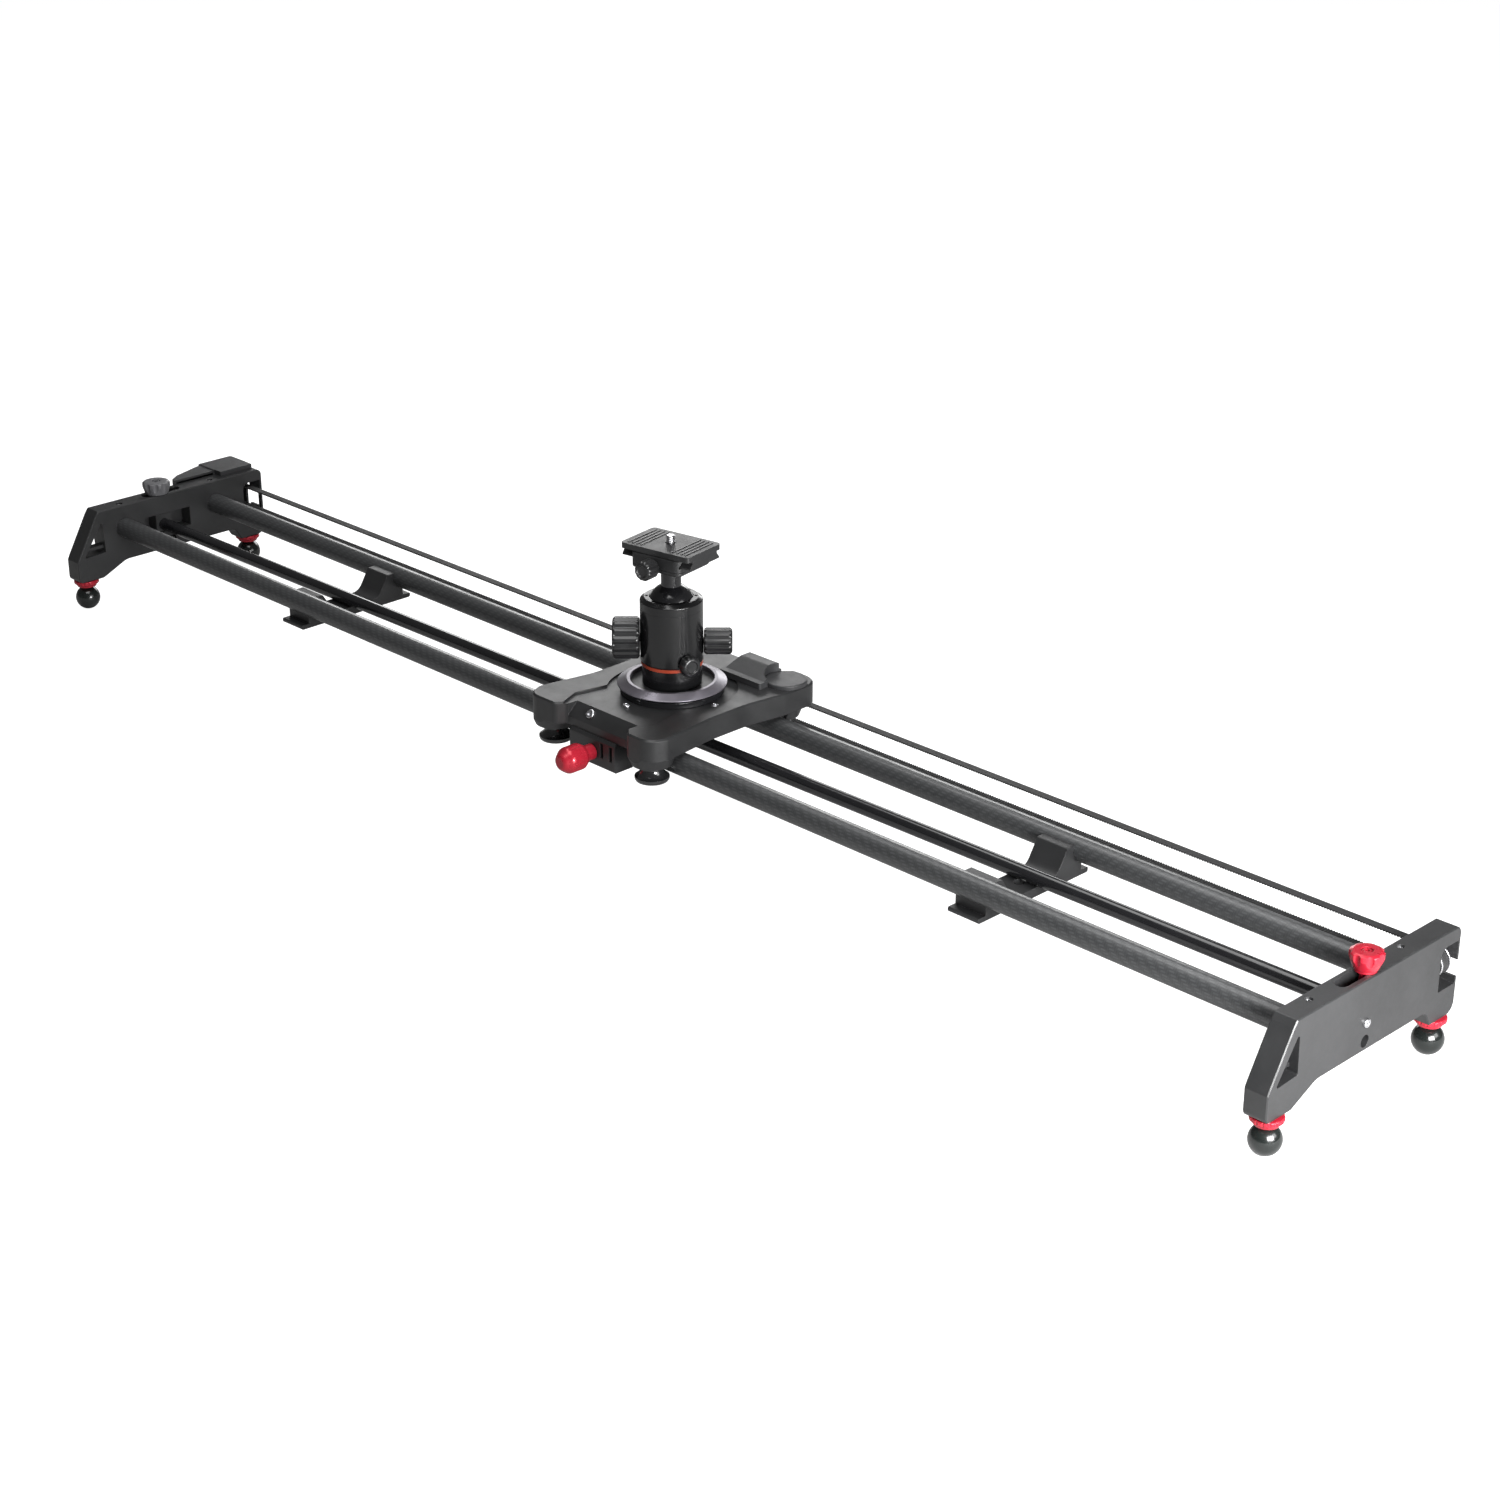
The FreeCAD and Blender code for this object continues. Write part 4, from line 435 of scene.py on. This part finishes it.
def threaded_foot(name):
    """Rubber ball with a moulded neck and a parting line, on its threaded stud."""
    middle = centre_of(name)
    origin = Vector((middle.x, middle.y, 0))
    ball = []
    for angle in range(-72, 61, 6):
        skin = FOOT_BALL_R if angle == 0 else FOOT_BALL_R - 0.05
        turn = math.radians(angle)
        ball.append((skin * math.cos(turn), FOOT_BALL_Z + skin * math.sin(turn)))
    ball = [(2.6, 0.0)] + ball + [(4.6, 18.7), (4.3, 19.3), (3.6, 19.6), (2.0, 19.6)]
    points, faces = turned(ball, 64)
    new_piece(name + "_ball", stood(points, origin, Z_AXIS), faces, name, "foot_rubber", name)
    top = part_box(name)[1].z / MM
    heights = steps_between(FOOT_STUD_Z, top - 0.6, FOOT_STUD_PITCH / 6)
    stud = [(FOOT_STUD_R, height) for height in heights] + [(2.4, top)]
    points, faces = turned(stud, 24, thread(FOOT_STUD_PITCH, 0.5, FOOT_STUD_Z, top - 0.6))
    new_piece(name + "_stud", stood(points, origin, Z_AXIS), faces, name, "bright_steel")


def belt_route(reach):
    """(crest or not, x, z, outward x, outward z) of each part of each tooth, once round the belt's loop."""
    idler, drive = centre_of("idler_pulley"), centre_of("drive_pulley")
    run, turn = (idler.x - drive.x) / MM, math.pi * reach
    teeth = round((2 * run + 2 * turn) / BELT_PITCH)
    pitch = (2 * run + 2 * turn) / teeth
    stations = []
    for tooth in range(teeth):
        for part, share in enumerate(BELT_TOOTH_PARTS):
            along = pitch * (tooth + share)
            stations.append((part in (1, 2), *loop_place(along, run, turn, reach)))
    return [(high, drive.x / MM + x, z, out_x, out_z) for high, x, z, out_x, out_z in stations]


def loop_place(along, run, turn, reach):
    """Where a length round the loop lies, from the top of the drive pulley towards the idler."""
    if along < run:
        return along, reach, 0.0, 1.0
    if along < run + turn:
        angle = (along - run) / reach
        return run + reach * math.sin(angle), reach * math.cos(angle), math.sin(angle), math.cos(angle)
    if along < 2 * run + turn:
        return 2 * run + turn - along, -reach, 0.0, -1.0
    angle = (along - 2 * run - turn) / reach
    return -reach * math.sin(angle), -reach * math.cos(angle), -math.sin(angle), -math.cos(angle)


def toothed_belt():
    """Timing belt with 2 mm teeth on its inner side, inside the CAD belt's envelope."""
    low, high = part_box("timing_belt")
    outer = (high.z - low.z) / 2 / MM
    axis_z = (high.z + low.z) / 2 / MM
    points = []
    for crest, x, z, out_x, out_z in belt_route(outer):
        depth = BELT_CREST if crest else BELT_ROOT
        for inward, y in ((0.0, low.y), (0.0, high.y), (depth, high.y), (depth, low.y)):
            points.append((MM * (x - inward * out_x), y, MM * (axis_z + z - inward * out_z)))
    faces = []
    for start in range(0, len(points), 4):
        after = (start + 4) % len(points)
        for side in range(4):
            turn = (side + 1) % 4
            faces.append((start + side, start + turn, after + turn, after + side))
    new_piece("toothed_belt", points, faces, "frame", "belt_rubber", "timing_belt")


def plate_pads():
    """Rubber strips set in the quick plate's grooves, a little proud of its top."""
    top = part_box("quick_plate")[1].z
    lengthwise = Vector(joint("quick_plate_slide")["axis"])
    across = lengthwise.cross(Z_AXIS)
    middle = centre_of("quick_plate")
    points, faces = [], []
    for along in PAD_PLACES:
        first = len(points)
        for end in (-PAD_HALF_LENGTH, PAD_HALF_LENGTH):
            for wide, high in PAD_SECTION:
                flat = lengthwise * (along + wide) * MM + across * end * MM
                points.append((middle.x + flat.x, middle.y + flat.y, top + high * MM))
        count = len(PAD_SECTION)
        faces += [tuple(range(first, first + count)), tuple(range(first + count, first + 2 * count))]
        for side in range(count):
            turn = (side + 1) % count
            faces.append((first + side, first + turn, first + count + turn, first + count + side))
    new_piece("quick_plate_pads", points, faces, "quick_plate", "knob_rubber")


def all_pieces():
    """The belt, the feet and the head's fine pieces, in place of their plain CAD solids."""
    toothed_belt()
    threaded_camera_screw()
    plate_pads()
    for end in ("left", "right"):
        for row in ("front", "rear"):
            threaded_foot(end + "_" + row + "_foot")
    for name, sizes in KNOBS.items():
        ribbed_knob(name, **sizes)


# ---------------------------------------------------------------- studio
def studio_floor():
    """Pale paper sweep, lit from within where the camera sees it, so that it stays nearly white."""
    mesh = bpy.data.meshes.new("studio_floor")
    shape = bmesh.new()
    bmesh.ops.create_grid(shape, x_segments=1, y_segments=1, size=FLOOR_HALF_SIZE)
    shape.to_mesh(mesh)
    shape.free()
    floor = bpy.data.objects.new("studio_floor", mesh)
    bpy.context.scene.collection.objects.link(floor)
    floor.location = (0, 0, cad_box[0][2] - FLOOR_GAP)
    paper = Finish("studio_paper", Specular_IOR_Level=0.1)
    fibre = paper.noise(9.0, 3.0)
    seen = paper.add("ShaderNodeLightPath").outputs["Is Camera Ray"]
    paper.shader.inputs["Emission Color"].default_value = (1.0, 1.0, 1.0, 1.0)
    paper.feed(Base_Color=paper.mixed(fibre, tone((0.42, 0.42, 0.42)), tone((0.44, 0.44, 0.44))),
               Roughness=paper.between(fibre, 0.3, 0.7, 0.8, 0.9),
               Emission_Strength=paper.math("MULTIPLY", seen, FLOOR_GLOW))
    mesh.materials.append(paper.material)


def soft_box(name, place, target, width, height, power):
    """Rectangular area light at a place, facing a target; sizes in metres, power in watts."""
    lamp = bpy.data.lights.new(name, "AREA")
    lamp.shape = "RECTANGLE"
    lamp.size = width
    lamp.size_y = height
    lamp.energy = power
    light = bpy.data.objects.new(name, lamp)
    light.location = place
    light.rotation_euler = (Vector(target) - Vector(place)).to_track_quat("-Z", "Y").to_euler()
    light.visible_camera = False
    bpy.context.scene.collection.objects.link(light)


def studio_light():
    """White surroundings for the camera, a dim room for the object, and four soft boxes."""
    world = bpy.data.worlds.new("studio_world")
    world.use_nodes = True
    nodes, links = world.node_tree.nodes, world.node_tree.links
    background = nodes["Background"]
    background.inputs["Color"].default_value = (1.0, 1.0, 1.0, 1.0)
    path = nodes.new("ShaderNodeLightPath")
    strength = nodes.new("ShaderNodeMapRange")
    strength.inputs["To Min"].default_value = ROOM_ON_OBJECT
    strength.inputs["To Max"].default_value = 1.0
    links.new(path.outputs["Is Camera Ray"], strength.inputs["Value"])
    links.new(strength.outputs["Result"], background.inputs["Strength"])
    bpy.context.scene.world = world
    soft_box("key_right", (1.06, -0.2, 0.27), (0.6, 0, 0.05), 0.4, 0.25, 17.0)
    soft_box("side_soft", (1.6, 0.3, 0.7), (0, 0, 0.05), 0.6, 0.5, 7.0)
    soft_box("top_soft", (-0.1, -0.1, 2.0), (0, 0, 0), 2.6, 1.2, 40.0)
    soft_box("rear_soft", (-1.3, 1.5, 0.55), (-0.2, 0, 0.06), 1.4, 0.7, 14.0)
    bpy.context.scene.view_settings.view_transform = "Standard"


def photo_camera():
    """Camera at the photograph's viewpoint."""
    lens = bpy.data.cameras.new("photo_camera")
    lens.lens = CAMERA_LENS_MM
    lens.sensor_width = SENSOR_MM
    lens.clip_start = 0.05
    camera = bpy.data.objects.new("photo_camera", lens)
    camera.location = CAMERA_PLACE
    camera.rotation_euler = Vector(CAMERA_LOOK).to_track_quat("-Z", "Y").to_euler()
    bpy.context.scene.collection.objects.link(camera)
    bpy.context.scene.camera = camera


# ---------------------------------------------------------------- the scene
finishes = all_finishes()
dress_nodes(finishes)
all_pieces()
studio_floor()
studio_light()
photo_camera()
